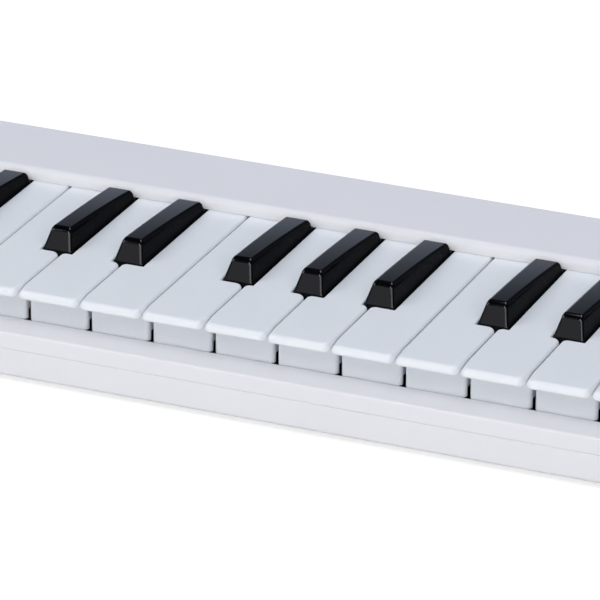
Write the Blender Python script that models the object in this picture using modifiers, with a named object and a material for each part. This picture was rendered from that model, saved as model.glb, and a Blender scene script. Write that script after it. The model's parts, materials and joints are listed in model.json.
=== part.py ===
"""Mini MIDI keyboard with 32 keys, modelled as an assembly of separate pieces.

Metres, +Z up. +X runs along the keys from low to high notes, and the player sits at -Y.
The origin is the centre of the footprint, on the surface that the feet stand on.
Every key's origin lies on the steel rod that it turns on, every wheel's on its shaft.
"""

import math

import bmesh
import bpy
from mathutils import Matrix, Vector

# Keyboard layout
KEY_PITCH = 0.0210
WHITE_LETTERS = "FGABCDE"
WHITE_COUNT = 19
LOWEST_OCTAVE = 1
# How far each black key's middle lies from the joint on its left white key's right side
BLACK_OFFSETS = {"F": -0.0027, "G": 0.0, "A": 0.0027, "C": -0.0018, "D": 0.0018}

# Case
CASE_LENGTH = 0.4180
CASE_DEPTH = 0.1194
FRONT_Y = -CASE_DEPTH / 2
REAR_Y = CASE_DEPTH / 2
BASE_Z = 0.0020
PARTING_Z = 0.0116
PARTING_GAP = 0.0003
PANEL_TOP_Z = 0.0354
WALL = 0.0022
END_ROUNDING = 0.0016
BASE_ROUNDING = 0.0015
CHEEK_NOSE_RADIUS = 0.0050
PANEL_BACK_RADIUS = 0.0008
WELL_HALF_LENGTH = 0.1999
LEDGE_REAR_Y = -0.0505
LEDGE_REAR_Z = 0.0182
LEDGE_SLOPE_DEG = 6.9
LEDGE_EDGE_RADIUS = 0.0009
LIP_FACE_Y = 0.0244
LIP_RADIUS = 0.0032
LIP_BOTTOM_Z = 0.03195
LIP_REAR_Y = 0.0320
SEAT_GAP = 0.0003
CHEEK_WALL = 0.0016
RAIL_REAR_WALL = 0.0020
RAIL_TOP_WALL = 0.0032
HOLE_LOW_Z = 0.0300
BOSS_SCREW_DEPTH = 0.0120

# White keys
WHITE_TOP_Z = 0.0316
WHITE_LIP_Y = -0.05925
WHITE_LIP_THICKNESS = 0.0030
WHITE_LIP_TOP_RADIUS = 0.0020
WHITE_LIP_BOTTOM_RADIUS = 0.0007
WHITE_LIP_WIDTH = KEY_PITCH - 0.0006
WHITE_BODY_WIDTH = KEY_PITCH - 0.0010
WHITE_CAP_REAR_Y = 0.0260
WHITE_EDGE_ROUNDING = 0.0007
WHITE_FRONT_Y = -0.0501
WHITE_FRONT_BOTTOM_Z = 0.0180
WHITE_FRONT_CORNER = 0.0012
KEY_WALL = 0.0013
KEY_CEILING_Z = 0.0298
SKIRT_BOTTOM_Z = 0.0210
TAIL_TOP_Z = 0.0302
FRONT_WALL = 0.0018
BLACK_FRONT_WALL = 0.0024
HOOK_FRONT_SOLID = 0.0030
TAIL_PLATE_THICKNESS = 0.0012

# How low, how high and how far past a side the cutting shapes reach, and when places count as equal
CUTTER_LOW_Z = 0.010
CUTTER_HIGH_Z = 0.045
CUTTER_MARGIN = 0.003
TOLERANCE = 0.00005

# Notches that the white keys leave for the black ones
NOTCH_WIDTH = 0.0113
NOTCH_FRONT_Y = -0.0256
NOTCH_CORNER_BELOW = 0.0030
NOTCH_CORNER_ABOVE = 0.0020

# Black keys
BLACK_WIDTH = 0.0100
BLACK_SIDE_TAPER = 0.18
BLACK_FRONT_Y = -0.0244
BLACK_FRONT_LEAN_DEG = 28.0
BLACK_TOP_FRONT_Z = WHITE_TOP_Z + 0.0068
BLACK_TOP_REAR_Z = WHITE_TOP_Z + 0.0031
BLACK_REAR_Y = 0.0234
BLACK_CREST_RADIUS = 0.0020
BLACK_REAR_RADIUS = 0.0018
BLACK_EDGE_ROUNDING = 0.0006
BLACK_SHARP_DEG = 60.0
BLACK_CORNER_CUT = 0.0018
BLACK_CEILING_Z = 0.0330
BLACK_REAR_CEILING_Z = 0.0322

# Hinge and the plungers that press the silicone domes
PIVOT_Y = 0.0320
PIVOT_Z = 0.0245
ROD_RADIUS = 0.0015
HOOK_BORE_RADIUS = 0.0018
HOOK_MOUTH = 0.0026
HOOK_FRONT_Y = 0.0276
HOOK_REAR_Y = 0.0354
HOOK_BOTTOM_Z = 0.0220
HOOK_CHAMFER = 0.0010
HOOK_INSET = 0.0024
BLACK_HOOK_INSET = 0.0010
HOOK_BORE_STEPS = 7
TAIL_SLANT_DEPTH = 0.0012
TAIL_SLANT_HEIGHT = 0.0022
PLUNGER_Y = 0.0
PLUNGER_HALF_DEPTH = 0.0014
PLUNGER_TIP_HALF_DEPTH = 0.00084
PLUNGER_BOTTOM_Z = 0.0190

# Key bed
BED_BOTTOM_Z = 0.0096
BED_TOP_Z = 0.0114
BED_HALF_LENGTH = 0.1994
BED_FRONT_Y = -0.0502
BED_REAR_Y = 0.0364
SHELF_REAR_Y = -0.0442
SHELF_TOP_Z = 0.0128
WEB_TOP_Z = 0.0160
CRADLE_THICKNESS = 0.0030
CRADLE_BOUNDARIES = (4, 7, 11, 14, 18)
END_CRADLE_X = 0.1983
END_CRADLE_THICKNESS = 0.0020
WHITE_GUIDE_Y = -0.0390
WHITE_GUIDE_WIDTH = 0.0050
WHITE_GUIDE_TOP_Z = 0.0260
BLACK_GUIDE_Y = -0.0120
BLACK_GUIDE_WIDTH = 0.0030
BLACK_GUIDE_TOP_Z = 0.0290
GUIDE_DEPTH = 0.0060

# Boards and silicone
BOARD_THICKNESS = 0.0016
CONTACT_BOARD_Z = BED_TOP_Z + SEAT_GAP
STRIP_BASE_Z = CONTACT_BOARD_Z + BOARD_THICKNESS + SEAT_GAP
STRIP_THICKNESS = 0.0010
DOME_BASE_RADIUS = 0.0036
DOME_TOP_RADIUS = 0.0022
MAIN_BOARD_Z = 0.0122
MAIN_BOARD_X = (-0.150, -0.050)
MAIN_BOARD_Y = (0.0380, 0.0556)
USB_X = -0.120

# Wheels and buttons, at the low end of the panel
WHEEL_Y = 0.0468
WHEEL_Z = 0.0290
WHEEL_RADIUS = 0.0100
WHEEL_WIDTH = 0.0076
PITCH_WHEEL_X = -0.19245
MOD_WHEEL_X = -0.18155
MOD_WHEEL_REST_DEG = 35.0
WHEEL_SLOT_WIDTH = 0.0086
WHEEL_SLOT_LENGTH = 0.0192
SHAFT_RADIUS = 0.0019
OUTER_SHAFT_LENGTH = 0.0023
INNER_SHAFT_LENGTH = 0.0015
SHAFT_TIP_RADIUS = 0.0010
SHAFT_TIP_LENGTH = 0.0046
BRACKET_PLATES = ((-0.1986, -0.1972), (-0.1877, -0.1863), (-0.1768, -0.1754))
BUTTON_X = -0.1635
OCTAVE_DOWN_Y = 0.0410
OCTAVE_UP_Y = 0.0522
BUTTON_SIZE = (0.0090, 0.0078)
BUTTON_PROUD = 0.0012
BUTTON_STEM_BOTTOM_Z = 0.0296
LIGHT_POSITION = (BUTTON_X, 0.0325)
LIGHT_RADIUS = 0.0012
FOOT_POSITIONS = {
    "foot_front_left": (-0.190, -0.046),
    "foot_front_right": (0.190, -0.046),
    "foot_rear_left": (-0.190, 0.046),
    "foot_rear_right": (0.190, 0.046),
}
FOOT_RADIUS = 0.0060
FOOT_RECESS = 0.0005
REAR_BOSSES = ((-0.030, 0.0500), (0.070, 0.0500), (0.170, 0.0500))
BOSS_RADIUS = 0.0030
BOSS_BORE_RADIUS = 0.0012


def clear_scene():
    """Removes every object that the file starts with."""
    for obj in list(bpy.data.objects):
        bpy.data.objects.remove(obj, do_unlink=True)


def new_collection(name):
    """Makes a collection in the scene and returns it."""
    collection = bpy.data.collections.new(name)
    bpy.context.scene.collection.children.link(collection)
    return collection


def new_material(name, colour, roughness, metallic=0.0):
    """Makes a Principled material of one colour, with linear values."""
    material = bpy.data.materials.new(name)
    material.use_nodes = True
    shader = material.node_tree.nodes["Principled BSDF"]
    shader.inputs["Base Color"].default_value = (*colour, 1.0)
    shader.inputs["Roughness"].default_value = roughness
    shader.inputs["Metallic"].default_value = metallic
    return material


def arc(centre, radius, start_deg, end_deg, steps):
    """Points on an arc in a plane, both ends included."""
    points = []
    for i in range(steps + 1):
        angle = math.radians(start_deg + (end_deg - start_deg) * i / steps)
        points.append((centre[0] + radius * math.cos(angle), centre[1] + radius * math.sin(angle)))
    return points


def fillet(before, corner, after, radius, steps):
    """Points that round the corner of an outline, tangent to both of its sides."""
    corner = Vector(corner)
    back = (Vector(before) - corner).normalized()
    onward = (Vector(after) - corner).normalized()
    half_angle = back.angle(onward) / 2
    centre = corner + (back + onward).normalized() * radius / math.sin(half_angle)
    first = corner + back * radius / math.tan(half_angle)
    start_deg = math.degrees(math.atan2(first.y - centre.y, first.x - centre.x))
    turn_deg = 180 - math.degrees(2 * half_angle)
    if back.x * onward.y - back.y * onward.x > 0:
        turn_deg = -turn_deg
    return arc(centre, radius, start_deg, start_deg + turn_deg, steps)


def add_prism_x(bm, outline, x_low, x_high):
    """Adds an outline of (y, z) points, extruded from x_low to x_high."""
    face = bm.faces.new([bm.verts.new((x_low, y, z)) for y, z in outline])
    grown = bmesh.ops.extrude_face_region(bm, geom=[face])["geom"]
    moved = [item for item in grown if isinstance(item, bmesh.types.BMVert)]
    bmesh.ops.translate(bm, vec=(x_high - x_low, 0, 0), verts=moved)
    bmesh.ops.recalc_face_normals(bm, faces=bm.faces)


def add_prism_z(bm, outline, z_low, z_high):
    """Adds an outline of (x, y) points, extruded from z_low to z_high."""
    face = bm.faces.new([bm.verts.new((x, y, z_low)) for x, y in outline])
    grown = bmesh.ops.extrude_face_region(bm, geom=[face])["geom"]
    moved = [item for item in grown if isinstance(item, bmesh.types.BMVert)]
    bmesh.ops.translate(bm, vec=(0, 0, z_high - z_low), verts=moved)
    bmesh.ops.recalc_face_normals(bm, faces=bm.faces)


def add_box(bm, low, high, top_scale=1.0):
    """Adds a box between two corners, with an optional draft towards its top."""
    low, high = Vector(low), Vector(high)
    middle = (low + high) / 2
    place = Matrix.Translation(middle) @ Matrix.Diagonal((*(high - low), 1.0))
    verts = bmesh.ops.create_cube(bm, size=1.0, matrix=place)["verts"]
    for vert in verts:
        if vert.co.z > middle.z:
            vert.co.x = middle.x + (vert.co.x - middle.x) * top_scale
            vert.co.y = middle.y + (vert.co.y - middle.y) * top_scale


def add_cylinder(bm, base, radius, height, segments=16, top_radius=None):
    """Adds an upright cylinder or cone whose lower end is centred on base."""
    place = Matrix.Translation(Vector(base) + Vector((0, 0, height / 2)))
    bmesh.ops.create_cone(
        bm, cap_ends=True, segments=segments, radius1=radius,
        radius2=radius if top_radius is None else top_radius, depth=height, matrix=place,
    )


def add_cylinder_x(bm, centre, radius, length, segments=16):
    """Adds a cylinder that lies along X."""
    place = Matrix.Translation(centre) @ Matrix.Rotation(math.pi / 2, 4, "Y")
    bmesh.ops.create_cone(
        bm, cap_ends=True, segments=segments, radius1=radius, radius2=radius,
        depth=length, matrix=place,
    )


def bevel(bm, edges, width, segments):
    """Rounds some edges of a mesh."""
    bmesh.ops.bevel(
        bm, geom=list(edges), offset=width, offset_type="OFFSET", segments=segments,
        profile=0.5, affect="EDGES", clamp_overlap=True,
    )


def edges_where(bm, test):
    """Edges whose both ends pass a test of their position."""
    return [edge for edge in bm.edges if all(test(vert.co) for vert in edge.verts)]


def make_object(name, bm, collection, material=None, origin=(0, 0, 0)):
    """Turns a mesh in world coordinates into an object with its origin at a given point."""
    bmesh.ops.translate(bm, vec=-Vector(origin), verts=bm.verts)
    mesh = bpy.data.meshes.new(name)
    bm.to_mesh(mesh)
    bm.free()
    obj = bpy.data.objects.new(name, mesh)
    obj.location = origin
    collection.objects.link(obj)
    if material is not None:
        mesh.materials.append(material)
    return obj


def add_boolean(obj, tool, operation):
    """Cuts or joins an object with another through a Boolean modifier."""
    tool.display_type = "WIRE"
    tool.hide_render = True
    modifier = obj.modifiers.new(tool.name, "BOOLEAN")
    modifier.operation = operation
    modifier.object = tool
    modifier.solver = "EXACT"


def evaluated_mesh(obj, name):
    """The mesh that an object's modifiers make, as a mesh of its own."""
    bpy.context.view_layer.update()
    depsgraph = bpy.context.evaluated_depsgraph_get()
    mesh = bpy.data.meshes.new_from_object(obj.evaluated_get(depsgraph))
    mesh.name = name
    return mesh


def smooth(obj, angle_deg=35.0):
    """Shades the round stretches of an object smooth."""
    obj.data.shade_smooth()
    obj.data.set_sharp_from_angle(angle=math.radians(angle_deg))


def boundary_x(index):
    """X of the joint at the left side of white key number index."""
    return (index - WHITE_COUNT / 2) * KEY_PITCH


def white_names():
    """Names of the white keys from the lowest, such as key_f1."""
    names = []
    octave = LOWEST_OCTAVE
    for index in range(WHITE_COUNT):
        letter = WHITE_LETTERS[index % len(WHITE_LETTERS)]
        if letter == "C":
            octave += 1
        names.append(f"key_{letter.lower()}{octave}")
    return names


def black_keys():
    """Name and middle X of each black key, from the lowest."""
    found = []
    for index, name in enumerate(white_names()[:-1]):
        letter = name[4].upper()
        if letter in BLACK_OFFSETS:
            found.append((f"key_{name[4]}s{name[5:]}", boundary_x(index + 1) + BLACK_OFFSETS[letter]))
    return found


def tail_outline():
    """The (y, z) points of a key's rear end and underside, from its tail back to its plunger.

    The rear end is a snap hook: a round bore over the rod, open below through a mouth that is
    narrower than the rod.
    """
    mouth_angle = math.degrees(math.asin(HOOK_MOUTH / 2 / HOOK_BORE_RADIUS))
    outline = [
        (HOOK_REAR_Y - TAIL_SLANT_DEPTH, TAIL_TOP_Z),
        (HOOK_REAR_Y, TAIL_TOP_Z - TAIL_SLANT_HEIGHT),
        (HOOK_REAR_Y, HOOK_BOTTOM_Z + HOOK_CHAMFER),
        (HOOK_REAR_Y - HOOK_CHAMFER, HOOK_BOTTOM_Z),
        (PIVOT_Y + HOOK_MOUTH / 2, HOOK_BOTTOM_Z),
    ]
    outline += arc(
        (PIVOT_Y, PIVOT_Z), HOOK_BORE_RADIUS, -90 + mouth_angle, 270 - mouth_angle, HOOK_BORE_STEPS
    )
    outline += [
        (PIVOT_Y - HOOK_MOUTH / 2, HOOK_BOTTOM_Z),
        (HOOK_FRONT_Y + HOOK_CHAMFER, HOOK_BOTTOM_Z),
        (HOOK_FRONT_Y - HOOK_CHAMFER, SKIRT_BOTTOM_Z),
        (PLUNGER_Y + PLUNGER_HALF_DEPTH, SKIRT_BOTTOM_Z),
        (PLUNGER_Y + PLUNGER_TIP_HALF_DEPTH, PLUNGER_BOTTOM_Z),
        (PLUNGER_Y - PLUNGER_TIP_HALF_DEPTH, PLUNGER_BOTTOM_Z),
        (PLUNGER_Y - PLUNGER_HALF_DEPTH, SKIRT_BOTTOM_Z),
    ]
    return outline


def white_cap():
    """Top plate of a white key: it overhangs the front as a rounded lip."""
    lip_bottom_z = WHITE_TOP_Z - WHITE_LIP_THICKNESS
    outline = [(WHITE_CAP_REAR_Y, WHITE_TOP_Z), (WHITE_CAP_REAR_Y, lip_bottom_z)]
    outline += arc(
        (WHITE_LIP_Y + WHITE_LIP_BOTTOM_RADIUS, lip_bottom_z + WHITE_LIP_BOTTOM_RADIUS),
        WHITE_LIP_BOTTOM_RADIUS, 270, 180, 2,
    )
    outline += arc(
        (WHITE_LIP_Y + WHITE_LIP_TOP_RADIUS, WHITE_TOP_Z - WHITE_LIP_TOP_RADIUS),
        WHITE_LIP_TOP_RADIUS, 180, 90, 4,
    )
    bm = bmesh.new()
    add_prism_x(bm, outline, -WHITE_LIP_WIDTH / 2, WHITE_LIP_WIDTH / 2)
    side = edges_where(bm, lambda co: co.z > lip_bottom_z + TOLERANCE)
    around = [edge for edge in side if abs(edge.verts[0].co.x - edge.verts[1].co.x) < TOLERANCE]
    around = [edge for edge in around if min(v.co.y for v in edge.verts) < WHITE_CAP_REAR_Y - TOLERANCE]
    bevel(bm, around, WHITE_EDGE_ROUNDING, 1)
    return bm


def white_body():
    """Lower part of a white key: recessed front wall, skirt, plunger and snap hook."""
    outline = [
        (WHITE_FRONT_Y + FRONT_WALL, SKIRT_BOTTOM_Z),
        (WHITE_FRONT_Y + FRONT_WALL, WHITE_FRONT_BOTTOM_Z),
        (WHITE_FRONT_Y, WHITE_FRONT_BOTTOM_Z),
        (WHITE_FRONT_Y, TAIL_TOP_Z),
    ]
    bm = bmesh.new()
    add_prism_x(bm, outline + tail_outline(), -WHITE_BODY_WIDTH / 2, WHITE_BODY_WIDTH / 2)
    corners = [
        edge for edge in edges_where(bm, lambda co: co.z < WHITE_FRONT_BOTTOM_Z + TOLERANCE)
        if abs(edge.verts[0].co.x - edge.verts[1].co.x) < TOLERANCE
    ]
    bevel(bm, corners, WHITE_FRONT_CORNER, 2)
    return bm


def notch_outline(edge_x, notch_x, corner_radius):
    """The (x, y) points of one notch, seen from above.

    edge_x is the key's side, notch_x the side of the notch inside the key. The key's own corner
    between the notch and its side is rounded.
    """
    outward = 1 if edge_x > notch_x else -1
    radius = min(corner_radius, abs(edge_x - notch_x))
    centre = (edge_x - outward * radius, NOTCH_FRONT_Y - radius)
    turned = arc(centre, radius, 90, 90 - outward * 90, 4)
    past_x = edge_x + outward * CUTTER_MARGIN
    past_y = HOOK_REAR_Y + CUTTER_MARGIN
    rest = [(past_x, turned[-1][1]), (past_x, past_y)]
    return [(notch_x, past_y), (notch_x, NOTCH_FRONT_Y), *turned, *rest]


def hook_insets(bm, left_x, right_x, inset):
    """Adds the two blocks that make a key's hook narrower than its shank."""
    rear_y = HOOK_REAR_Y + CUTTER_MARGIN
    top_z = TAIL_TOP_Z - TAIL_PLATE_THICKNESS
    sides = ((left_x - CUTTER_MARGIN, left_x + inset), (right_x - inset, right_x + CUTTER_MARGIN))
    for low_x, high_x in sides:
        add_box(bm, (low_x, HOOK_FRONT_Y - HOOK_CHAMFER, CUTTER_LOW_Z), (high_x, rear_y, top_z))


def white_key_mesh(name, left_offset, right_offset, cutters, material):
    """Mesh of one white key, from the black keys at its left and right.

    An offset is that black key's distance from the joint, or None where there is no black key.
    Coordinates are centred on the key in X and on the hinge rod in Y and Z.
    """
    half = WHITE_LIP_WIDTH / 2
    shank_left = -half if left_offset is None else -KEY_PITCH / 2 + left_offset + NOTCH_WIDTH / 2
    shank_right = half if right_offset is None else KEY_PITCH / 2 + right_offset - NOTCH_WIDTH / 2
    key = make_object(name, white_cap(), cutters, material)
    body = make_object(name + "_body", white_body(), cutters)
    add_boolean(key, body, "UNION")
    tools = [body]
    if left_offset is not None or right_offset is not None:
        bm = bmesh.new()
        if left_offset is not None:
            outline = notch_outline(-half, shank_left, NOTCH_CORNER_ABOVE)
            add_prism_z(bm, outline, CUTTER_LOW_Z, CUTTER_HIGH_Z)
        if right_offset is not None:
            outline = notch_outline(half, shank_right, NOTCH_CORNER_BELOW)
            add_prism_z(bm, outline, CUTTER_LOW_Z, CUTTER_HIGH_Z)
        notches = make_object(name + "_notches", bm, cutters)
        add_boolean(key, notches, "DIFFERENCE")
        tools.append(notches)
    bm = bmesh.new()
    inner_half = WHITE_BODY_WIDTH / 2 - KEY_WALL
    rib_y = NOTCH_FRONT_Y - FRONT_WALL
    add_box(bm, (-inner_half, WHITE_FRONT_Y + FRONT_WALL, CUTTER_LOW_Z), (inner_half, rib_y, KEY_CEILING_Z))
    left = max(shank_left, -WHITE_BODY_WIDTH / 2) + KEY_WALL
    right = min(shank_right, WHITE_BODY_WIDTH / 2) - KEY_WALL
    add_box(
        bm, (left, NOTCH_FRONT_Y + KEY_WALL, CUTTER_LOW_Z),
        (right, PLUNGER_Y - PLUNGER_HALF_DEPTH, KEY_CEILING_Z),
    )
    add_box(
        bm, (left, PLUNGER_Y + PLUNGER_HALF_DEPTH, CUTTER_LOW_Z),
        (right, HOOK_FRONT_Y - HOOK_FRONT_SOLID, KEY_CEILING_Z),
    )
    hook_insets(bm, shank_left, shank_right, HOOK_INSET)
    hollows = make_object(name + "_hollows", bm, cutters)
    add_boolean(key, hollows, "DIFFERENCE")
    tools.append(hollows)
    return finished_key_mesh(key, tools, name)


def finished_key_mesh(key, tools, name):
    """Bakes a key's modifiers, centres it on the hinge rod and removes the working objects."""
    mesh = evaluated_mesh(key, name)
    mesh.transform(Matrix.Translation((0, -PIVOT_Y, -PIVOT_Z)))
    for obj in [key, *tools]:
        bpy.data.objects.remove(obj, do_unlink=True)
    return mesh


def black_key_outline():
    """The (y, z) points of a black key: leaning front, falling top, skirt and hook."""
    foot = (BLACK_FRONT_Y, WHITE_TOP_Z)
    fall = (BLACK_TOP_FRONT_Z - BLACK_TOP_REAR_Z) / (BLACK_REAR_Y - BLACK_FRONT_Y)
    lean = math.tan(math.radians(BLACK_FRONT_LEAN_DEG))
    crest_height = (BLACK_TOP_FRONT_Z - WHITE_TOP_Z) / (1 + fall * lean)
    crest = (BLACK_FRONT_Y + crest_height * lean, WHITE_TOP_Z + crest_height)
    rear = (BLACK_REAR_Y, BLACK_TOP_REAR_Z)
    rear_foot = (BLACK_REAR_Y, WHITE_TOP_Z - TOLERANCE)
    outline = [(BLACK_FRONT_Y + KEY_WALL, SKIRT_BOTTOM_Z), (BLACK_FRONT_Y, SKIRT_BOTTOM_Z), foot]
    outline += fillet(foot, crest, rear, BLACK_CREST_RADIUS, 3)
    outline += fillet(crest, rear, rear_foot, BLACK_REAR_RADIUS, 2)
    outline += [rear_foot, (WHITE_CAP_REAR_Y, rear_foot[1]), (WHITE_CAP_REAR_Y, TAIL_TOP_Z)]
    return outline + tail_outline()


def black_key_mesh(cutters, material):
    """Mesh shared by all black keys: a tapered wedge over a skirt with the same hook.

    Its front corners are cut off, so that it passes the inner corners of the notches freely.
    """
    bm = bmesh.new()
    add_prism_x(bm, black_key_outline(), -BLACK_WIDTH / 2, BLACK_WIDTH / 2)
    everything = bm.verts[:] + bm.edges[:] + bm.faces[:]
    bmesh.ops.bisect_plane(bm, geom=everything, plane_co=(0, 0, WHITE_TOP_Z), plane_no=(0, 0, 1))
    for vert in bm.verts:
        above = max(vert.co.z - WHITE_TOP_Z, 0.0)
        vert.co.x -= math.copysign(above * BLACK_SIDE_TAPER, vert.co.x)
    bm.normal_update()
    exposed = edges_where(bm, lambda co: co.z > WHITE_TOP_Z - TOLERANCE)
    sides = [
        edge for edge in exposed
        if abs(edge.verts[0].co.x - edge.verts[1].co.x) < BLACK_WIDTH / 4
        and max(vert.co.y for vert in edge.verts) < WHITE_CAP_REAR_Y - TOLERANCE
        and edge.calc_face_angle(0.0) > math.radians(BLACK_SHARP_DEG)
    ]
    bevel(bm, sides, BLACK_EDGE_ROUNDING, 1)
    key = make_object("black_key", bm, cutters, material)
    bm = bmesh.new()
    half = BLACK_WIDTH / 2 - KEY_WALL
    add_box(
        bm, (-half, BLACK_FRONT_Y + BLACK_FRONT_WALL, CUTTER_LOW_Z),
        (half, PLUNGER_Y - PLUNGER_HALF_DEPTH, BLACK_CEILING_Z),
    )
    add_box(
        bm, (-half, PLUNGER_Y + PLUNGER_HALF_DEPTH, CUTTER_LOW_Z),
        (half, BLACK_REAR_Y - FRONT_WALL, BLACK_REAR_CEILING_Z),
    )
    hook_insets(bm, -BLACK_WIDTH / 2, BLACK_WIDTH / 2, BLACK_HOOK_INSET)
    for side in (-1, 1):
        front_y = BLACK_FRONT_Y - CUTTER_MARGIN
        outer_x = side * (BLACK_WIDTH / 2 + CUTTER_MARGIN)
        inner_x = side * (BLACK_WIDTH / 2 - BLACK_CORNER_CUT - CUTTER_MARGIN)
        rear_y = BLACK_FRONT_Y + BLACK_CORNER_CUT + CUTTER_MARGIN
        corner = [(inner_x, front_y), (outer_x, front_y), (outer_x, rear_y)]
        add_prism_z(bm, corner, CUTTER_LOW_Z, CUTTER_HIGH_Z)
    hollows = make_object("black_key_hollows", bm, cutters)
    add_boolean(key, hollows, "DIFFERENCE")
    return finished_key_mesh(key, [hollows], "black_key")


def place_key(name, mesh, x, parts):
    """Adds one key, with its origin on the hinge rod."""
    obj = bpy.data.objects.new(name, mesh)
    obj.location = (x, PIVOT_Y, PIVOT_Z)
    parts.objects.link(obj)
    smooth(obj)


def build_keys(parts, cutters, white, black):
    """Makes the 19 white keys and the 13 black ones."""
    names = white_names()
    shapes = {}
    for index, name in enumerate(names):
        letter = name[4].upper()
        below = names[index - 1][4].upper() if index else None
        left_offset = BLACK_OFFSETS.get(below)
        right_offset = BLACK_OFFSETS.get(letter) if index < WHITE_COUNT - 1 else None
        shape = (left_offset, right_offset)
        if shape not in shapes:
            shapes[shape] = white_key_mesh("white_" + letter.lower(), *shape, cutters, white)
        place_key(name, shapes[shape], boundary_x(index) + KEY_PITCH / 2, parts)
    mesh = black_key_mesh(cutters, black)
    for name, x in black_keys():
        place_key(name, mesh, x, parts)


def shell_prism(outline, keep_square_z):
    """An outline extruded over the whole length, its end edges rounded except at one height."""
    bm = bmesh.new()
    half = CASE_LENGTH / 2
    add_prism_x(bm, outline, -half, half)
    ends = [
        edge for edge in bm.edges
        if abs(edge.verts[0].co.x - edge.verts[1].co.x) < 1e-6
        and not all(abs(vert.co.z - keep_square_z) < 1e-6 for vert in edge.verts)
    ]
    bevel(bm, ends, END_ROUNDING, 2)
    return bm


def well_outline():
    """The (y, z) points of the opening for the keys.

    It runs over the ledge, down behind it, and up round the soft front lip of the panel.
    """
    slope = math.radians(LEDGE_SLOPE_DEG)
    edge_y = FRONT_Y + LEDGE_EDGE_RADIUS
    ledge_front_z = LEDGE_REAR_Z - (LEDGE_REAR_Y - edge_y) * math.tan(slope)
    edge_z = ledge_front_z - LEDGE_EDGE_RADIUS
    outline = [(FRONT_Y - CUTTER_MARGIN, edge_z)]
    outline += arc((edge_y, edge_z), LEDGE_EDGE_RADIUS, 180, 90 + LEDGE_SLOPE_DEG, 3)
    outline += [(LEDGE_REAR_Y, LEDGE_REAR_Z), (LEDGE_REAR_Y, CUTTER_LOW_Z), (LIP_FACE_Y, CUTTER_LOW_Z)]
    outline += arc((LIP_FACE_Y + LIP_RADIUS, PANEL_TOP_Z - LIP_RADIUS), LIP_RADIUS, 180, 90, 5)
    outline += [(LIP_FACE_Y + LIP_RADIUS, CUTTER_HIGH_Z), (FRONT_Y - CUTTER_MARGIN, CUTTER_HIGH_Z)]
    return outline


def build_upper_case(parts, cutters, material):
    """Top shell: panel with its lip, end cheeks, and the ledge and rail under the key fronts."""
    bottom_z = PARTING_Z + PARTING_GAP / 2
    outline = [(FRONT_Y, bottom_z)]
    outline += arc(
        (FRONT_Y + CHEEK_NOSE_RADIUS, PANEL_TOP_Z - CHEEK_NOSE_RADIUS), CHEEK_NOSE_RADIUS, 180, 90, 5
    )
    outline += arc(
        (REAR_Y - PANEL_BACK_RADIUS, PANEL_TOP_Z - PANEL_BACK_RADIUS), PANEL_BACK_RADIUS, 90, 0, 2
    )
    outline.append((REAR_Y, bottom_z))
    case = make_object("upper_case", shell_prism(outline, bottom_z), parts, material)

    bm = bmesh.new()
    add_prism_x(bm, well_outline(), -WELL_HALF_LENGTH, WELL_HALF_LENGTH)
    add_boolean(case, make_object("key_well", bm, cutters), "DIFFERENCE")

    inner_x = CASE_LENGTH / 2 - WALL
    inner_y = REAR_Y - WALL
    ceiling_z = PANEL_TOP_Z - WALL
    bay_front_y = LIP_FACE_Y - 0.0010
    bay = [
        (bay_front_y, CUTTER_LOW_Z), (inner_y, CUTTER_LOW_Z), (inner_y, ceiling_z),
        (LIP_REAR_Y, ceiling_z), (LIP_REAR_Y, LIP_BOTTOM_Z), (bay_front_y, LIP_BOTTOM_Z),
    ]
    bm = bmesh.new()
    add_prism_x(bm, bay, -inner_x, inner_x)
    add_boolean(case, make_object("rear_bay", bm, cutters), "DIFFERENCE")

    bm = bmesh.new()
    cheek_inner_x = WELL_HALF_LENGTH + CHEEK_WALL
    for side in (-1, 1):
        low_x, high_x = sorted((side * cheek_inner_x, side * inner_x))
        add_box(bm, (low_x, -inner_y, CUTTER_LOW_Z), (high_x, bay_front_y + 0.0006, ceiling_z))
    add_boolean(case, make_object("cheek_hollows", bm, cutters), "DIFFERENCE")
    bm = bmesh.new()
    rail_x = cheek_inner_x + 0.0008
    rail_low = (-rail_x, -inner_y + 0.0001, CUTTER_LOW_Z)
    add_box(bm, rail_low, (rail_x, LEDGE_REAR_Y - RAIL_REAR_WALL, LEDGE_REAR_Z - RAIL_TOP_WALL))
    add_boolean(case, make_object("rail_hollow", bm, cutters), "DIFFERENCE")

    bm = bmesh.new()
    for x, y in REAR_BOSSES:
        add_cylinder(bm, (x, y, bottom_z + 0.0003), BOSS_RADIUS, ceiling_z - bottom_z + 0.0007, 12)
    add_boolean(case, make_object("upper_bosses", bm, cutters), "UNION")
    add_boolean(case, upper_case_holes(cutters, bottom_z), "DIFFERENCE")
    smooth(case)


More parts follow.
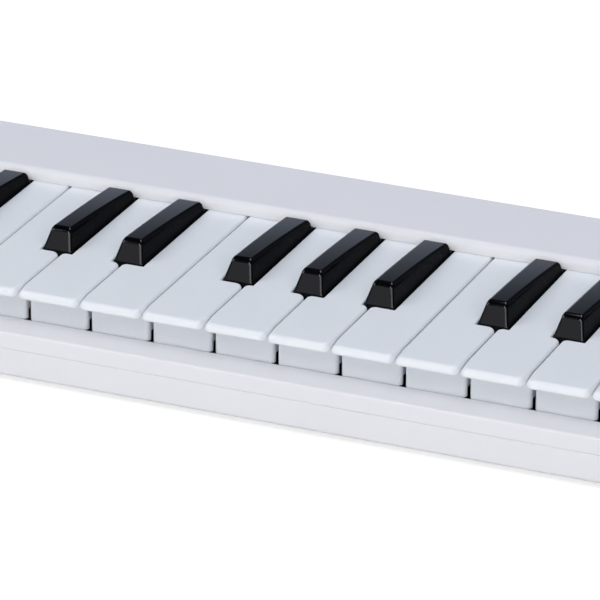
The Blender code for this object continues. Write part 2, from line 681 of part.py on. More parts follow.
def upper_case_holes(cutters, bottom_z):
    """Everything that goes through the top shell: wheels, buttons, light, socket and screws."""
    bm = bmesh.new()
    for x in (PITCH_WHEEL_X, MOD_WHEEL_X):
        half = Vector((WHEEL_SLOT_WIDTH / 2, WHEEL_SLOT_LENGTH / 2, 0))
        add_box(bm, Vector((x, WHEEL_Y, HOLE_LOW_Z)) - half, Vector((x, WHEEL_Y, CUTTER_HIGH_Z)) + half)
    for y in (OCTAVE_DOWN_Y, OCTAVE_UP_Y):
        half = Vector((BUTTON_SIZE[0] / 2 + SEAT_GAP, BUTTON_SIZE[1] / 2 + SEAT_GAP, 0))
        add_box(bm, Vector((BUTTON_X, y, HOLE_LOW_Z)) - half, Vector((BUTTON_X, y, CUTTER_HIGH_Z)) + half)
    light_base = (*LIGHT_POSITION, HOLE_LOW_Z)
    add_cylinder(bm, light_base, LIGHT_RADIUS + SEAT_GAP, CUTTER_HIGH_Z - HOLE_LOW_Z, 12)
    for x, y in REAR_BOSSES:
        bore_base = (x, y, bottom_z - CUTTER_MARGIN)
        add_cylinder(bm, bore_base, BOSS_BORE_RADIUS, BOSS_SCREW_DEPTH + CUTTER_MARGIN, 8)
    outline = usb_outline(0.0004)
    usb = bmesh.new()
    add_prism_x(usb, outline, REAR_Y - 0.006, REAR_Y + 0.004)
    turn_prism_to_y(usb, USB_X)
    joined = bpy.data.meshes.new("usb_hole")
    usb.to_mesh(joined)
    usb.free()
    bm.from_mesh(joined)
    return make_object("upper_case_holes", bm, cutters)


def usb_outline(margin):
    """Outline of the small socket as (x, z) points about its middle, its lower corners cut."""
    half_width, low_z, high_z = 0.00385, 0.0141, 0.0180
    return [
        (-half_width - margin, high_z + margin),
        (half_width + margin, high_z + margin),
        (half_width + margin, low_z + 0.0013),
        (half_width - 0.0010 + margin, low_z - margin),
        (-half_width + 0.0010 - margin, low_z - margin),
        (-half_width - margin, low_z + 0.0013),
    ]


def turn_prism_to_y(bm, x):
    """Turns a prism that runs along X so that it runs along Y, and moves it to a given X."""
    for vert in bm.verts:
        along, across, height = vert.co
        vert.co = (x + across, along, height)
    bmesh.ops.recalc_face_normals(bm, faces=bm.faces)


def build_lower_case(parts, cutters, material):
    """Bottom tray: walls with a locating rim, posts for what it carries, recesses for the feet."""
    top_z = PARTING_Z - PARTING_GAP / 2
    outline = [(REAR_Y, top_z), (FRONT_Y, top_z)]
    outline += arc((FRONT_Y + BASE_ROUNDING, BASE_Z + BASE_ROUNDING), BASE_ROUNDING, 180, 270, 3)
    outline += arc((REAR_Y - BASE_ROUNDING, BASE_Z + BASE_ROUNDING), BASE_ROUNDING, 270, 360, 3)
    case = make_object("lower_case", shell_prism(outline, top_z), parts, material)

    rim_outer = Vector((CASE_LENGTH / 2 - WALL - SEAT_GAP, REAR_Y - WALL - SEAT_GAP, 0))
    rim_inner = rim_outer - Vector((0.0010, 0.0010, 0))
    floor_z = BASE_Z + WALL
    bm = bmesh.new()
    add_box(bm, (-rim_outer.x, -rim_outer.y, BASE_Z + 0.001), (rim_outer.x, rim_outer.y, top_z + 0.0016))
    add_boolean(case, make_object("locating_rim", bm, cutters), "UNION")
    bm = bmesh.new()
    add_box(bm, (-rim_inner.x, -rim_inner.y, floor_z), (rim_inner.x, rim_inner.y, 0.030))
    add_boolean(case, make_object("tray_hollow", bm, cutters), "DIFFERENCE")

    bm = bmesh.new()
    post = 0.0030
    posts = [(x, y, BED_BOTTOM_Z) for x in (-0.150, -0.050, 0.050, 0.150) for y in (-0.044, 0.026)]
    posts += [(x, y, MAIN_BOARD_Z) for x in (-0.145, -0.055) for y in (0.0420, 0.0520)]
    posts += [(-0.1950, 0.0410, 0.0150), (-0.1800, 0.0530, 0.0150), (BUTTON_X, 0.0466, 0.0240)]
    for x, y, seat_z in posts:
        low = (x - post, y - post, floor_z - 0.0004)
        add_box(bm, low, (x + post, y + post, seat_z - SEAT_GAP), top_scale=0.8)
    for x, y in REAR_BOSSES:
        add_cylinder(bm, (x, y, floor_z - 0.0004), BOSS_RADIUS, top_z - floor_z + 0.0004, 12)
    add_boolean(case, make_object("tray_posts", bm, cutters), "UNION")

    bm = bmesh.new()
    for x, y in FOOT_POSITIONS.values():
        add_cylinder(bm, (x, y, BASE_Z - 0.002), FOOT_RADIUS + SEAT_GAP, 0.002 + FOOT_RECESS, 16)
    for x, y in REAR_BOSSES:
        add_cylinder(bm, (x, y, BASE_Z - 0.002), BOSS_BORE_RADIUS * 1.2, 0.020, 8)
    add_boolean(case, make_object("tray_recesses", bm, cutters), "DIFFERENCE")
    smooth(case)


def build_feet(parts, material):
    """Rubber feet, each a low turned button in its recess."""
    top_z = BASE_Z + FOOT_RECESS - SEAT_GAP
    for name, (x, y) in FOOT_POSITIONS.items():
        bm = bmesh.new()
        add_cylinder(bm, (x, y, 0.0), FOOT_RADIUS, top_z, 16)
        bevel(bm, edges_where(bm, lambda co: co.z < 0.0001), 0.0005, 2)
        smooth(make_object(name, bm, parts, material, origin=(x, y, 0.0)))


def cradle_outline():
    """The (y, z) points of one rod support: a web with a round seat, open above."""
    outline = [
        (PIVOT_Y - 0.0060, BED_TOP_Z - 0.0005), (BED_REAR_Y, BED_TOP_Z - 0.0005),
        (BED_REAR_Y, WEB_TOP_Z), (PIVOT_Y + 0.0034, PIVOT_Z),
    ]
    outline += arc((PIVOT_Y, PIVOT_Z), HOOK_BORE_RADIUS, 0, -180, 6)
    outline += [(PIVOT_Y - 0.0034, PIVOT_Z), (PIVOT_Y - 0.0050, WEB_TOP_Z)]
    return outline


def build_key_bed(parts, cutters, material):
    """Chassis under the keys: plate, felt shelf, rear web, rod cradles and guide posts."""
    outline = [
        (BED_FRONT_Y, BED_BOTTOM_Z), (BED_REAR_Y, BED_BOTTOM_Z), (BED_REAR_Y, WEB_TOP_Z),
        (BED_REAR_Y - 0.0014, WEB_TOP_Z), (BED_REAR_Y - 0.0014, BED_TOP_Z),
        (SHELF_REAR_Y, BED_TOP_Z), (SHELF_REAR_Y, SHELF_TOP_Z), (BED_FRONT_Y, SHELF_TOP_Z),
    ]
    bm = bmesh.new()
    add_prism_x(bm, outline, -BED_HALF_LENGTH, BED_HALF_LENGTH)
    bed = make_object("key_bed", bm, parts, material)

    bm = bmesh.new()
    half = CRADLE_THICKNESS / 2
    for boundary in CRADLE_BOUNDARIES:
        x = boundary_x(boundary)
        add_prism_x(bm, cradle_outline(), x - half, x + half)
    for side in (-1, 1):
        x = side * END_CRADLE_X
        add_prism_x(bm, cradle_outline(), x - END_CRADLE_THICKNESS / 2, x + END_CRADLE_THICKNESS / 2)
    add_boolean(bed, make_object("rod_cradles", bm, cutters), "UNION")

    bm = bmesh.new()
    guides = [
        (boundary_x(index) + KEY_PITCH / 2, WHITE_GUIDE_Y, WHITE_GUIDE_WIDTH, WHITE_GUIDE_TOP_Z)
        for index in range(WHITE_COUNT)
    ]
    guides += [(x, BLACK_GUIDE_Y, BLACK_GUIDE_WIDTH, BLACK_GUIDE_TOP_Z) for _, x in black_keys()]
    for x, y, width, top_z in guides:
        low = (x - width / 2, y - GUIDE_DEPTH / 2, BED_TOP_Z - 0.0005)
        add_box(bm, low, (x + width / 2, y + GUIDE_DEPTH / 2, top_z), top_scale=0.8)
    add_boolean(bed, make_object("guide_posts", bm, cutters), "UNION")


def build_hinge_rod(parts, material):
    """The steel rod that every key turns on."""
    bm = bmesh.new()
    add_cylinder_x(bm, (0, PIVOT_Y, PIVOT_Z), ROD_RADIUS, 2 * (BED_HALF_LENGTH + 0.0008), 12)
    smooth(make_object("hinge_rod", bm, parts, material, origin=(0, PIVOT_Y, PIVOT_Z)))


def build_boards(parts, material):
    """The long contact board under the keys and the main board behind them."""
    bm = bmesh.new()
    add_box(
        bm, (-0.196, -0.008, CONTACT_BOARD_Z), (0.196, 0.022, CONTACT_BOARD_Z + BOARD_THICKNESS)
    )
    make_object("contact_board", bm, parts, material)
    bm = bmesh.new()
    low = (MAIN_BOARD_X[0], MAIN_BOARD_Y[0], MAIN_BOARD_Z)
    add_box(bm, low, (MAIN_BOARD_X[1], MAIN_BOARD_Y[1], MAIN_BOARD_Z + BOARD_THICKNESS))
    make_object("main_board", bm, parts, material)


def shank_middles():
    """Middle X of every key's shank, in order of pitch, where its dome sits."""
    found = []
    names = white_names()
    for index, name in enumerate(names):
        left = boundary_x(index)
        right = left + KEY_PITCH
        below = BLACK_OFFSETS.get(names[index - 1][4].upper()) if index else None
        above = BLACK_OFFSETS.get(name[4].upper()) if index < WHITE_COUNT - 1 else None
        if below is not None:
            left += below + NOTCH_WIDTH / 2
        if above is not None:
            right += above - NOTCH_WIDTH / 2
        found.append((left + right) / 2)
    return sorted(found + [x for _, x in black_keys()])


def build_contact_strips(parts, cutters, material):
    """Three silicone strips, each a thin base with one dome under every key."""
    middles = shank_middles()
    groups = {
        "contact_strip_low": middles[:12],
        "contact_strip_mid": middles[12:24],
        "contact_strip_high": middles[24:],
    }
    dome_top_z = PLUNGER_BOTTOM_Z - SEAT_GAP
    for name, group in groups.items():
        bm = bmesh.new()
        add_box(
            bm, (group[0] - 0.0050, PLUNGER_Y - 0.0050, STRIP_BASE_Z),
            (group[-1] + 0.0050, PLUNGER_Y + 0.0050, STRIP_BASE_Z + STRIP_THICKNESS),
        )
        strip = make_object(name, bm, parts, material)
        bm = bmesh.new()
        base_z = STRIP_BASE_Z + STRIP_THICKNESS / 2
        for x in group:
            add_cylinder(
                bm, (x, PLUNGER_Y, base_z), DOME_BASE_RADIUS, dome_top_z - base_z, 8, DOME_TOP_RADIUS
            )
        add_boolean(strip, make_object(name + "_domes", bm, cutters), "UNION")


def build_felts(parts, material):
    """Felt strips that stop the keys at the bottom and at the top of their travel."""
    bm = bmesh.new()
    low_z = SHELF_TOP_Z + SEAT_GAP
    add_box(bm, (-0.1970, -0.0500, low_z), (0.1970, -0.0446, low_z + 0.0016))
    make_object("down_stop_felt", bm, parts, material)
    bm = bmesh.new()
    add_box(
        bm, (-0.1990, WHITE_CAP_REAR_Y + 0.0008, TAIL_TOP_Z + SEAT_GAP),
        (0.1990, LIP_REAR_Y - 0.0004, LIP_BOTTOM_Z - SEAT_GAP),
    )
    make_object("up_stop_felt", bm, parts, material)


def build_ribbon_cable(parts, material):
    """Flat cable from the contact board, over the bed's rear web, to the main board."""
    start_y, end_y = 0.0180, 0.0440
    start_z = CONTACT_BOARD_Z + BOARD_THICKNESS + 0.0006
    end_z = MAIN_BOARD_Z + BOARD_THICKNESS + 0.0006
    crest_z = WEB_TOP_Z + 0.0016
    steps = 14
    points = []
    for i in range(steps + 1):
        share = i / steps
        base_z = start_z + (end_z - start_z) * share
        rise = math.sin(math.pi * share) ** 2
        points.append((start_y + (end_y - start_y) * share, base_z + (crest_z - base_z) * rise))
    bm = bmesh.new()
    verts = [bm.verts.new((-0.110, y, z)) for y, z in points]
    edges = [bm.edges.new(pair) for pair in zip(verts, verts[1:])]
    grown = bmesh.ops.extrude_edge_only(bm, edges=edges)["geom"]
    moved = [item for item in grown if isinstance(item, bmesh.types.BMVert)]
    bmesh.ops.translate(bm, vec=(0.020, 0, 0), verts=moved)
    bmesh.ops.recalc_face_normals(bm, faces=bm.faces)
    cable = make_object("ribbon_cable", bm, parts, material)
    solidify = cable.modifiers.new("thickness", "SOLIDIFY")
    solidify.thickness = 0.0005
    solidify.offset = 0.0
    smooth(cable)


def build_usb_socket(parts, cutters, material):
    """Small socket shell on the main board, open to the rear, with a tongue inside."""
    mouth_y = REAR_Y - 0.0010
    bm = bmesh.new()
    add_prism_x(bm, usb_outline(0.0), mouth_y - 0.0092, mouth_y)
    turn_prism_to_y(bm, USB_X)
    socket = make_object("usb_socket", bm, parts, material)
    bm = bmesh.new()
    add_prism_x(bm, usb_outline(-0.0004), mouth_y - 0.0080, mouth_y + 0.002)
    turn_prism_to_y(bm, USB_X)
    add_boolean(socket, make_object("usb_mouth", bm, cutters), "DIFFERENCE")
    bm = bmesh.new()
    add_box(bm, (USB_X - 0.0024, mouth_y - 0.0085, 0.0161), (USB_X + 0.0024, mouth_y - 0.0012, 0.0169))
    add_boolean(socket, make_object("usb_tongue", bm, cutters), "UNION")


def wheel_object(name, x, outer_side, spring_pocket, rest_deg, parts, cutters, material):
    """One thumb wheel: a turned body with stub shafts and a finger scoop in its rim.

    The outer shaft is stepped and reaches into the sensor; the inner one stops in the bracket.
    """
    half = WHEEL_WIDTH / 2
    rim = 0.0010
    pocket_depth, pocket_radius = 0.0026, 0.0066
    hub_radius = SHAFT_RADIUS + 0.0010
    profile = [
        (-half - SHAFT_TIP_LENGTH, 0.0), (-half - SHAFT_TIP_LENGTH, SHAFT_TIP_RADIUS),
        (-half - OUTER_SHAFT_LENGTH, SHAFT_TIP_RADIUS), (-half - OUTER_SHAFT_LENGTH, SHAFT_RADIUS),
        (-half, SHAFT_RADIUS), (-half, WHEEL_RADIUS - rim),
        (-half + rim * 0.3, WHEEL_RADIUS - rim * 0.3), (-half + rim, WHEEL_RADIUS),
        (half - rim, WHEEL_RADIUS), (half - rim * 0.3, WHEEL_RADIUS - rim * 0.3),
        (half, WHEEL_RADIUS - rim),
    ]
    if spring_pocket:
        profile += [(half, pocket_radius), (half - pocket_depth, pocket_radius)]
        profile += [(half - pocket_depth, hub_radius), (half, hub_radius)]
    profile += [
        (half, SHAFT_RADIUS), (half + INNER_SHAFT_LENGTH, SHAFT_RADIUS),
        (half + INNER_SHAFT_LENGTH, 0.0),
    ]
    profile = [(-outer_side * along, radius) for along, radius in profile]
    bm = bmesh.new()
    verts = [bm.verts.new((along, radius, 0.0)) for along, radius in profile]
    outline = verts + [bm.edges.new(pair) for pair in zip(verts, verts[1:])]
    bmesh.ops.spin(
        bm, geom=outline, cent=(0, 0, 0), axis=(1, 0, 0), angle=2 * math.pi, steps=20, use_merge=True,
    )
    bmesh.ops.remove_doubles(bm, verts=bm.verts, dist=0.00002)
    bmesh.ops.recalc_face_normals(bm, faces=bm.faces)
    wheel = make_object(name, bm, parts, material)
    wheel.location = (x, WHEEL_Y, WHEEL_Z)
    bm = bmesh.new()
    angle = math.radians(90 + rest_deg)
    reach = WHEEL_RADIUS + 0.0012
    scoop_centre = (0, reach * math.cos(angle), reach * math.sin(angle))
    add_cylinder_x(bm, scoop_centre, 0.0024, WHEEL_WIDTH + 0.004, 16)
    scoop = make_object(name + "_scoop", bm, cutters)
    scoop.location = wheel.location
    add_boolean(wheel, scoop, "DIFFERENCE")
    smooth(wheel)


def build_wheel_bracket(parts, cutters, material):
    """Bracket of three plates on one base, with a bearing hole for each stub shaft."""
    base_low, base_high = 0.0150, 0.0166
    bm = bmesh.new()
    low = (BRACKET_PLATES[0][0], WHEEL_Y - 0.0086, base_low)
    add_box(bm, low, (BRACKET_PLATES[-1][1], WHEEL_Y + 0.0086, base_high))
    bracket = make_object("wheel_bracket", bm, parts, material)
    plate = [
        (WHEEL_Y - 0.0080, base_low + 0.0004), (WHEEL_Y + 0.0080, base_low + 0.0004),
        (WHEEL_Y + 0.0042, WHEEL_Z + 0.0010), (WHEEL_Y + 0.0024, WHEEL_Z + 0.0036),
        (WHEEL_Y - 0.0024, WHEEL_Z + 0.0036), (WHEEL_Y - 0.0042, WHEEL_Z + 0.0010),
    ]
    bm = bmesh.new()
    for low_x, high_x in BRACKET_PLATES:
        inset = 0.0001
        add_prism_x(bm, plate, low_x + inset, high_x - inset)
    add_boolean(bracket, make_object("bracket_plates", bm, cutters), "UNION")
    bm = bmesh.new()
    length = BRACKET_PLATES[-1][1] - BRACKET_PLATES[0][0] + 0.004
    middle = (BRACKET_PLATES[-1][1] + BRACKET_PLATES[0][0]) / 2
    add_cylinder_x(bm, (middle, WHEEL_Y, WHEEL_Z), SHAFT_RADIUS + 0.0003, length, 16)
    add_boolean(bracket, make_object("bracket_bearings", bm, cutters), "DIFFERENCE")


def build_sensors(parts, cutters, material):
    """Rotary sensors on the outer end of each wheel's shaft."""
    size = 0.0038
    places = {
        "pitch_sensor": (BRACKET_PLATES[0][0] - 0.0042, BRACKET_PLATES[0][0] - SEAT_GAP),
        "mod_sensor": (BRACKET_PLATES[-1][1] + SEAT_GAP, BRACKET_PLATES[-1][1] + 0.0042),
    }
    for name, (low_x, high_x) in places.items():
        bm = bmesh.new()
        add_box(bm, (low_x, WHEEL_Y - size, WHEEL_Z - size), (high_x, WHEEL_Y + size, WHEEL_Z + size))
        sensor = make_object(name, bm, parts, material)
        bm = bmesh.new()
        middle = (low_x + high_x) / 2
        add_cylinder_x(bm, (middle, WHEEL_Y, WHEEL_Z), SHAFT_TIP_RADIUS + 0.0003, 0.010, 12)
        add_boolean(sensor, make_object(name + "_bore", bm, cutters), "DIFFERENCE")


def build_pitch_spring(parts, material):
    """Coil spring in the pitch wheel's pocket, which brings the wheel back to its middle."""
    turns, points_per_turn, wire = 2, 12, 0.00025
    start_x = PITCH_WHEEL_X + WHEEL_WIDTH / 2 - 0.0020
    curve = bpy.data.curves.new("pitch_spring", "CURVE")
    curve.dimensions = "3D"
    curve.bevel_depth = wire
    curve.bevel_resolution = 1
    curve.use_fill_caps = True
    count = turns * points_per_turn + 1
    spline = curve.splines.new("POLY")
    spline.points.add(count - 1)
    for i, point in enumerate(spline.points):
        angle = 2 * math.pi * i / points_per_turn
        rise = 0.0022 * i / (count - 1)
        point.co = (start_x + rise, 0.0046 * math.cos(angle), 0.0046 * math.sin(angle), 1.0)
    spring = bpy.data.objects.new("pitch_spring", curve)
    spring.location = (0, WHEEL_Y, WHEEL_Z)
    curve.materials.append(material)
    parts.objects.link(spring)


def build_buttons(parts, cutters, cap_material, board_material):
    """The two octave buttons and the small board with their switches."""
    flange = 0.0011
    flange_top_z = PANEL_TOP_Z - WALL - SEAT_GAP
    for name, y in (("octave_down_button", OCTAVE_DOWN_Y), ("octave_up_button", OCTAVE_UP_Y)):
        half_x, half_y = BUTTON_SIZE[0] / 2, BUTTON_SIZE[1] / 2
        bm = bmesh.new()
        add_box(
            bm, (BUTTON_X - half_x, y - half_y, flange_top_z - 0.0006),
            (BUTTON_X + half_x, y + half_y, PANEL_TOP_Z + BUTTON_PROUD),
        )
        bevel(bm, edges_where(bm, lambda co: co.z > PANEL_TOP_Z), 0.0006, 2)
        cap = make_object(name, bm, parts, cap_material, origin=(BUTTON_X, y, PANEL_TOP_Z))
        bm = bmesh.new()
        add_box(
            bm, (BUTTON_X - half_x - flange, y - half_y - flange, flange_top_z - 0.0012),
            (BUTTON_X + half_x + flange, y + half_y + flange, flange_top_z),
        )
        add_boolean(cap, make_object(name + "_flange", bm, cutters), "UNION")
        bm = bmesh.new()
        low = (BUTTON_X - 0.0015, y - 0.0015, BUTTON_STEM_BOTTOM_Z)
        add_box(bm, low, (BUTTON_X + 0.0015, y + 0.0015, flange_top_z - 0.0008))
        add_boolean(cap, make_object(name + "_stem", bm, cutters), "UNION")
        smooth(cap)

    board_z = 0.0240
    bm = bmesh.new()
    add_box(bm, (BUTTON_X - 0.0055, 0.0372, board_z), (BUTTON_X + 0.0055, 0.0560, board_z + BOARD_THICKNESS))
    board = make_object("button_board", bm, parts, board_material)
    bm = bmesh.new()
    for y in (OCTAVE_DOWN_Y, OCTAVE_UP_Y):
        low = (BUTTON_X - 0.0030, y - 0.0030, board_z + BOARD_THICKNESS - 0.0004)
        add_box(bm, low, (BUTTON_X + 0.0030, y + 0.0030, 0.0272))
    add_boolean(board, make_object("button_switches", bm, cutters), "UNION")
    bm = bmesh.new()
    for y in (OCTAVE_DOWN_Y, OCTAVE_UP_Y):
        add_cylinder(bm, (BUTTON_X, y, 0.0268), 0.0016, 0.0014, 10)
    add_boolean(board, make_object("button_switch_stems", bm, cutters), "UNION")


def build_power_light(parts, material):
    """Small lens that fills its hole in the panel."""
    bm = bmesh.new()
    low_z = LIP_BOTTOM_Z + SEAT_GAP
    proud = 0.0003
    add_cylinder(bm, (*LIGHT_POSITION, low_z), LIGHT_RADIUS, PANEL_TOP_Z + proud - low_z, 12)
    bevel(bm, edges_where(bm, lambda co: co.z > PANEL_TOP_Z), proud, 1)
    smooth(make_object("power_light", bm, parts, material, origin=(*LIGHT_POSITION, PANEL_TOP_Z)))


def main():
    """Builds the whole keyboard."""
    clear_scene()
    parts = new_collection("mini_midi_keyboard")
    cutters = new_collection("cutters")
    case_white = new_material("case_white", (0.77, 0.77, 0.80), 0.45)
    key_white = new_material("key_white", (0.66, 0.69, 0.73), 0.30)
    key_black = new_material("key_black", (0.012, 0.012, 0.014), 0.12)
    inner_grey = new_material("inner_grey", (0.10, 0.10, 0.11), 0.55)
    control_grey = new_material("control_grey", (0.55, 0.56, 0.59), 0.50)
    steel = new_material("steel", (0.60, 0.60, 0.62), 0.25, 1.0)
    silicone = new_material("silicone", (0.45, 0.45, 0.47), 0.60)
    felt = new_material("felt", (0.25, 0.05, 0.05), 0.90)
    board_green = new_material("board_green", (0.03, 0.12, 0.06), 0.40)
    rubber = new_material("rubber", (0.05, 0.05, 0.05), 0.80)
    lens = new_material("lens", (0.75, 0.78, 0.80), 0.15)

    build_upper_case(parts, cutters, case_white)
    build_lower_case(parts, cutters, case_white)
    build_feet(parts, rubber)
    build_key_bed(parts, cutters, inner_grey)
    build_hinge_rod(parts, steel)
    build_keys(parts, cutters, key_white, key_black)
    build_boards(parts, board_green)
    build_contact_strips(parts, cutters, silicone)
    build_felts(parts, felt)
    build_ribbon_cable(parts, control_grey)
    build_usb_socket(parts, cutters, steel)
    wheel_object("pitch_wheel", PITCH_WHEEL_X, -1, True, 0.0, parts, cutters, control_grey)
    wheel_object("mod_wheel", MOD_WHEEL_X, 1, False, MOD_WHEEL_REST_DEG, parts, cutters, control_grey)
    build_wheel_bracket(parts, cutters, inner_grey)
    build_sensors(parts, cutters, inner_grey)
    build_pitch_spring(parts, steel)
    build_buttons(parts, cutters, control_grey, board_green)
    build_power_light(parts, lens)


main()
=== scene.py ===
"""Looks and studio for a mini MIDI keyboard with 32 keys.

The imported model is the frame. The case, the keys and the controls are rebuilt with fine rounded
edges around it, every piece gets a procedural finish, and a plain studio shows the result.
"""

import json
import logging
import math
from collections.abc import Callable, Iterable, Sequence
from dataclasses import dataclass, field
from enum import Enum

import bmesh
import bpy
from mathutils import Matrix, Vector

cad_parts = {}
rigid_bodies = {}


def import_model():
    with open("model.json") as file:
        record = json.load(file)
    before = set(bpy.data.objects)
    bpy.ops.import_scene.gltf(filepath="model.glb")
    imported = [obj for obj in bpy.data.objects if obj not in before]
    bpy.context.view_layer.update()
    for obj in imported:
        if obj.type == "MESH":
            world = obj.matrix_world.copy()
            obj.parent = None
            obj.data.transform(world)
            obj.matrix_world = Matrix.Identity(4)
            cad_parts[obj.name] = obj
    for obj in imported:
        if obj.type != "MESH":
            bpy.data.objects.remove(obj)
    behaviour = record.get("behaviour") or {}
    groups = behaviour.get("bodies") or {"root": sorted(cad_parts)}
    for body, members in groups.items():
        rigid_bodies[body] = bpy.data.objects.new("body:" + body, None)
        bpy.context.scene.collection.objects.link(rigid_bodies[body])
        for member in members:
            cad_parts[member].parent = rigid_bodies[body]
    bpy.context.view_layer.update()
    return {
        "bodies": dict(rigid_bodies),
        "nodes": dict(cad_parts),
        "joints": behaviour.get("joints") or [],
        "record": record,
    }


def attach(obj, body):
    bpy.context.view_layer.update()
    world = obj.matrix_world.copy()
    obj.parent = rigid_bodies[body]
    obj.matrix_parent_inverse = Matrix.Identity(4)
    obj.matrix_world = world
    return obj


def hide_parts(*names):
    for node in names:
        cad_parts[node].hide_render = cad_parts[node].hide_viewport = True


LOG = logging.getLogger("mini_keyboard")
Point = tuple[float, float]
Colour = tuple[float, float, float]
Shape = bmesh.types.BMesh
WHITE: Colour = (1.0, 1.0, 1.0)

# Lengths are in metres. Points closer than MERGE are joined, and TINY and HAIR are the play in tests
# of place.
MM = 0.001
TINY = 0.001 * MM
MERGE = 0.002 * MM
HAIR = 0.01 * MM
KEY_PITCH = 21.0 * MM
SMOOTH_DEG = 30.0


class Cut(Enum):
    """How one solid shape acts on another."""

    JOIN = "UNION"
    REMOVE = "DIFFERENCE"
    KEEP_COMMON = "INTERSECT"


class Axis(Enum):
    """An axis, as the numbers of the two axes across it and its own."""

    X = (1, 2, 0)
    Y = (0, 2, 1)
    Z = (0, 1, 2)

    def point(self, first: float, second: float, along: float) -> Vector:
        """A point by its places on the two axes across this one, and along it."""
        co = Vector((0, 0, 0))
        for axis, value in zip(self.value, (first, second, along)):
            co[axis] = value
        return co


def in_mm(*points: Point) -> tuple[Point, ...]:
    """Turns points given in millimetres into metres."""
    return tuple((a * MM, b * MM) for a, b in points)


def arc(centre: Point, radius: float, start_deg: float, end_deg: float, steps: int) -> list[Point]:
    """Points on an arc in a plane, both ends included.

    Args:
        centre: Middle of the arc.
        radius: Its radius.
        start_deg: Angle of the first point, from the plane's first axis.
        end_deg: Angle of the last point.
        steps: Number of equal steps between them.

    Returns:
        The points in order.
    """
    turn = [math.radians(start_deg + (end_deg - start_deg) * i / steps) for i in range(steps + 1)]
    return [(centre[0] + radius * math.cos(a), centre[1] + radius * math.sin(a)) for a in turn]


def fillet(before: Point, corner: Point, after: Point, radius: float, steps: int) -> list[Point]:
    """Points that round the corner of an outline.

    Args:
        before: The point before the corner.
        corner: The corner itself.
        after: The point after it.
        radius: Radius of the rounding.
        steps: Number of equal steps in it.

    Returns:
        The points in order, tangent to both sides.
    """
    tip = Vector(corner)
    back, onward = (Vector(before) - tip).normalized(), (Vector(after) - tip).normalized()
    half = back.angle(onward) / 2
    centre = tip + (back + onward).normalized() * radius / math.sin(half)
    first = tip + back * radius / math.tan(half)
    start = math.degrees(math.atan2(first.y - centre.y, first.x - centre.x))
    turn = 180 - math.degrees(2 * half)
    if back.x * onward.y - back.y * onward.x > 0:
        turn = -turn
    return arc((centre.x, centre.y), radius, start, start + turn, steps)


def prism(outline: Sequence[Point], low: float, high: float, axis: Axis = Axis.X) -> Shape:
    """Pulls an outline along an axis into a closed solid.

    Args:
        outline: Points in the plane across the axis.
        low: Where the solid starts along the axis.
        high: Where it ends.
        axis: The axis that it runs along.

    Returns:
        A new shape.
    """
    bm = bmesh.new()
    face = bm.faces.new([bm.verts.new(axis.point(a, b, low)) for a, b in outline])
    grown = bmesh.ops.extrude_face_region(bm, geom=[face])["geom"]
    far = [part for part in grown if isinstance(part, bmesh.types.BMVert)]
    bmesh.ops.translate(bm, vec=axis.point(0, 0, high - low), verts=far)
    bmesh.ops.recalc_face_normals(bm, faces=bm.faces)
    return bm


def box(low: Sequence[float], high: Sequence[float]) -> Shape:
    """A box between two corners.

    Args:
        low: Its lowest corner.
        high: Its highest corner.

    Returns:
        A new shape.
    """
    low_co, high_co = Vector(low), Vector(high)
    place = Matrix.Translation((low_co + high_co) / 2) @ Matrix.Diagonal((*(high_co - low_co), 1.0))
    bm = bmesh.new()
    bmesh.ops.create_cube(bm, size=1.0, matrix=place)
    return bm


def block(
    x: float, y: float, half: Point, low_z: float, high_z: float, radius: float = 0.0, segments: int = 1
) -> Shape:
    """An upright box about a point in plan.

    Args:
        x: Its middle in X.
        y: Its middle in Y.
        half: Half its width and half its depth.
        low_z: Height of its bottom.
        high_z: Height of its top.
        radius: Rounding of its four upright edges, or 0.
        segments: Number of facets across the rounding.

    Returns:
        A new shape.
    """
    bm = box((x - half[0], y - half[1], low_z), (x + half[0], y + half[1], high_z))
    if radius:
        upright = [edge for edge in bm.edges if abs(edge.verts[0].co.z - edge.verts[1].co.z) > TINY]
        round_off(bm, upright, radius, segments)
    return bm


def drum(
    centre: Sequence[float], radius: float, length: float, segments: int, axis: Axis = Axis.Z
) -> Shape:
    """A cylinder about its middle.

    Args:
        centre: Middle of the solid.
        radius: Its radius.
        length: Length along the axis.
        segments: Number of sides.
        axis: The axis that it runs along.

    Returns:
        A new shape.
    """
    turns = {
        Axis.X: Matrix.Rotation(math.pi / 2, 4, "Y"),
        Axis.Y: Matrix.Rotation(-math.pi / 2, 4, "X"),
        Axis.Z: Matrix.Identity(4),
    }
    bm = bmesh.new()
    bmesh.ops.create_cone(
        bm, cap_ends=True, segments=segments, radius1=radius, radius2=radius, depth=length,
        matrix=Matrix.Translation(Vector(centre)) @ turns[axis],
    )
    return bm


def turned(profile: Iterable[Point], centre: Sequence[float], steps: int, axis: Axis) -> Shape:
    """Spins a profile round an axis.

    Args:
        profile: Points as (distance along the axis, radius), both ends on the axis.
        centre: The point that the distances count from.
        steps: Number of steps round the axis.
        axis: The axis of the turned piece.

    Returns:
        A new closed shape.
    """
    across, _, along = axis.value
    bm = bmesh.new()
    verts = []
    for distance, radius in profile:
        co = Vector(centre)
        co[along] += distance
        co[across] += radius
        verts.append(bm.verts.new(co))
    edges = [bm.edges.new(pair) for pair in zip(verts, verts[1:])]
    bmesh.ops.spin(
        bm, geom=verts + edges, cent=Vector(centre), axis=axis.point(0, 0, 1), angle=2 * math.pi,
        steps=steps, use_merge=True,
    )
    bmesh.ops.remove_doubles(bm, verts=bm.verts, dist=HAIR)
    bmesh.ops.recalc_face_normals(bm, faces=bm.faces)
    return bm


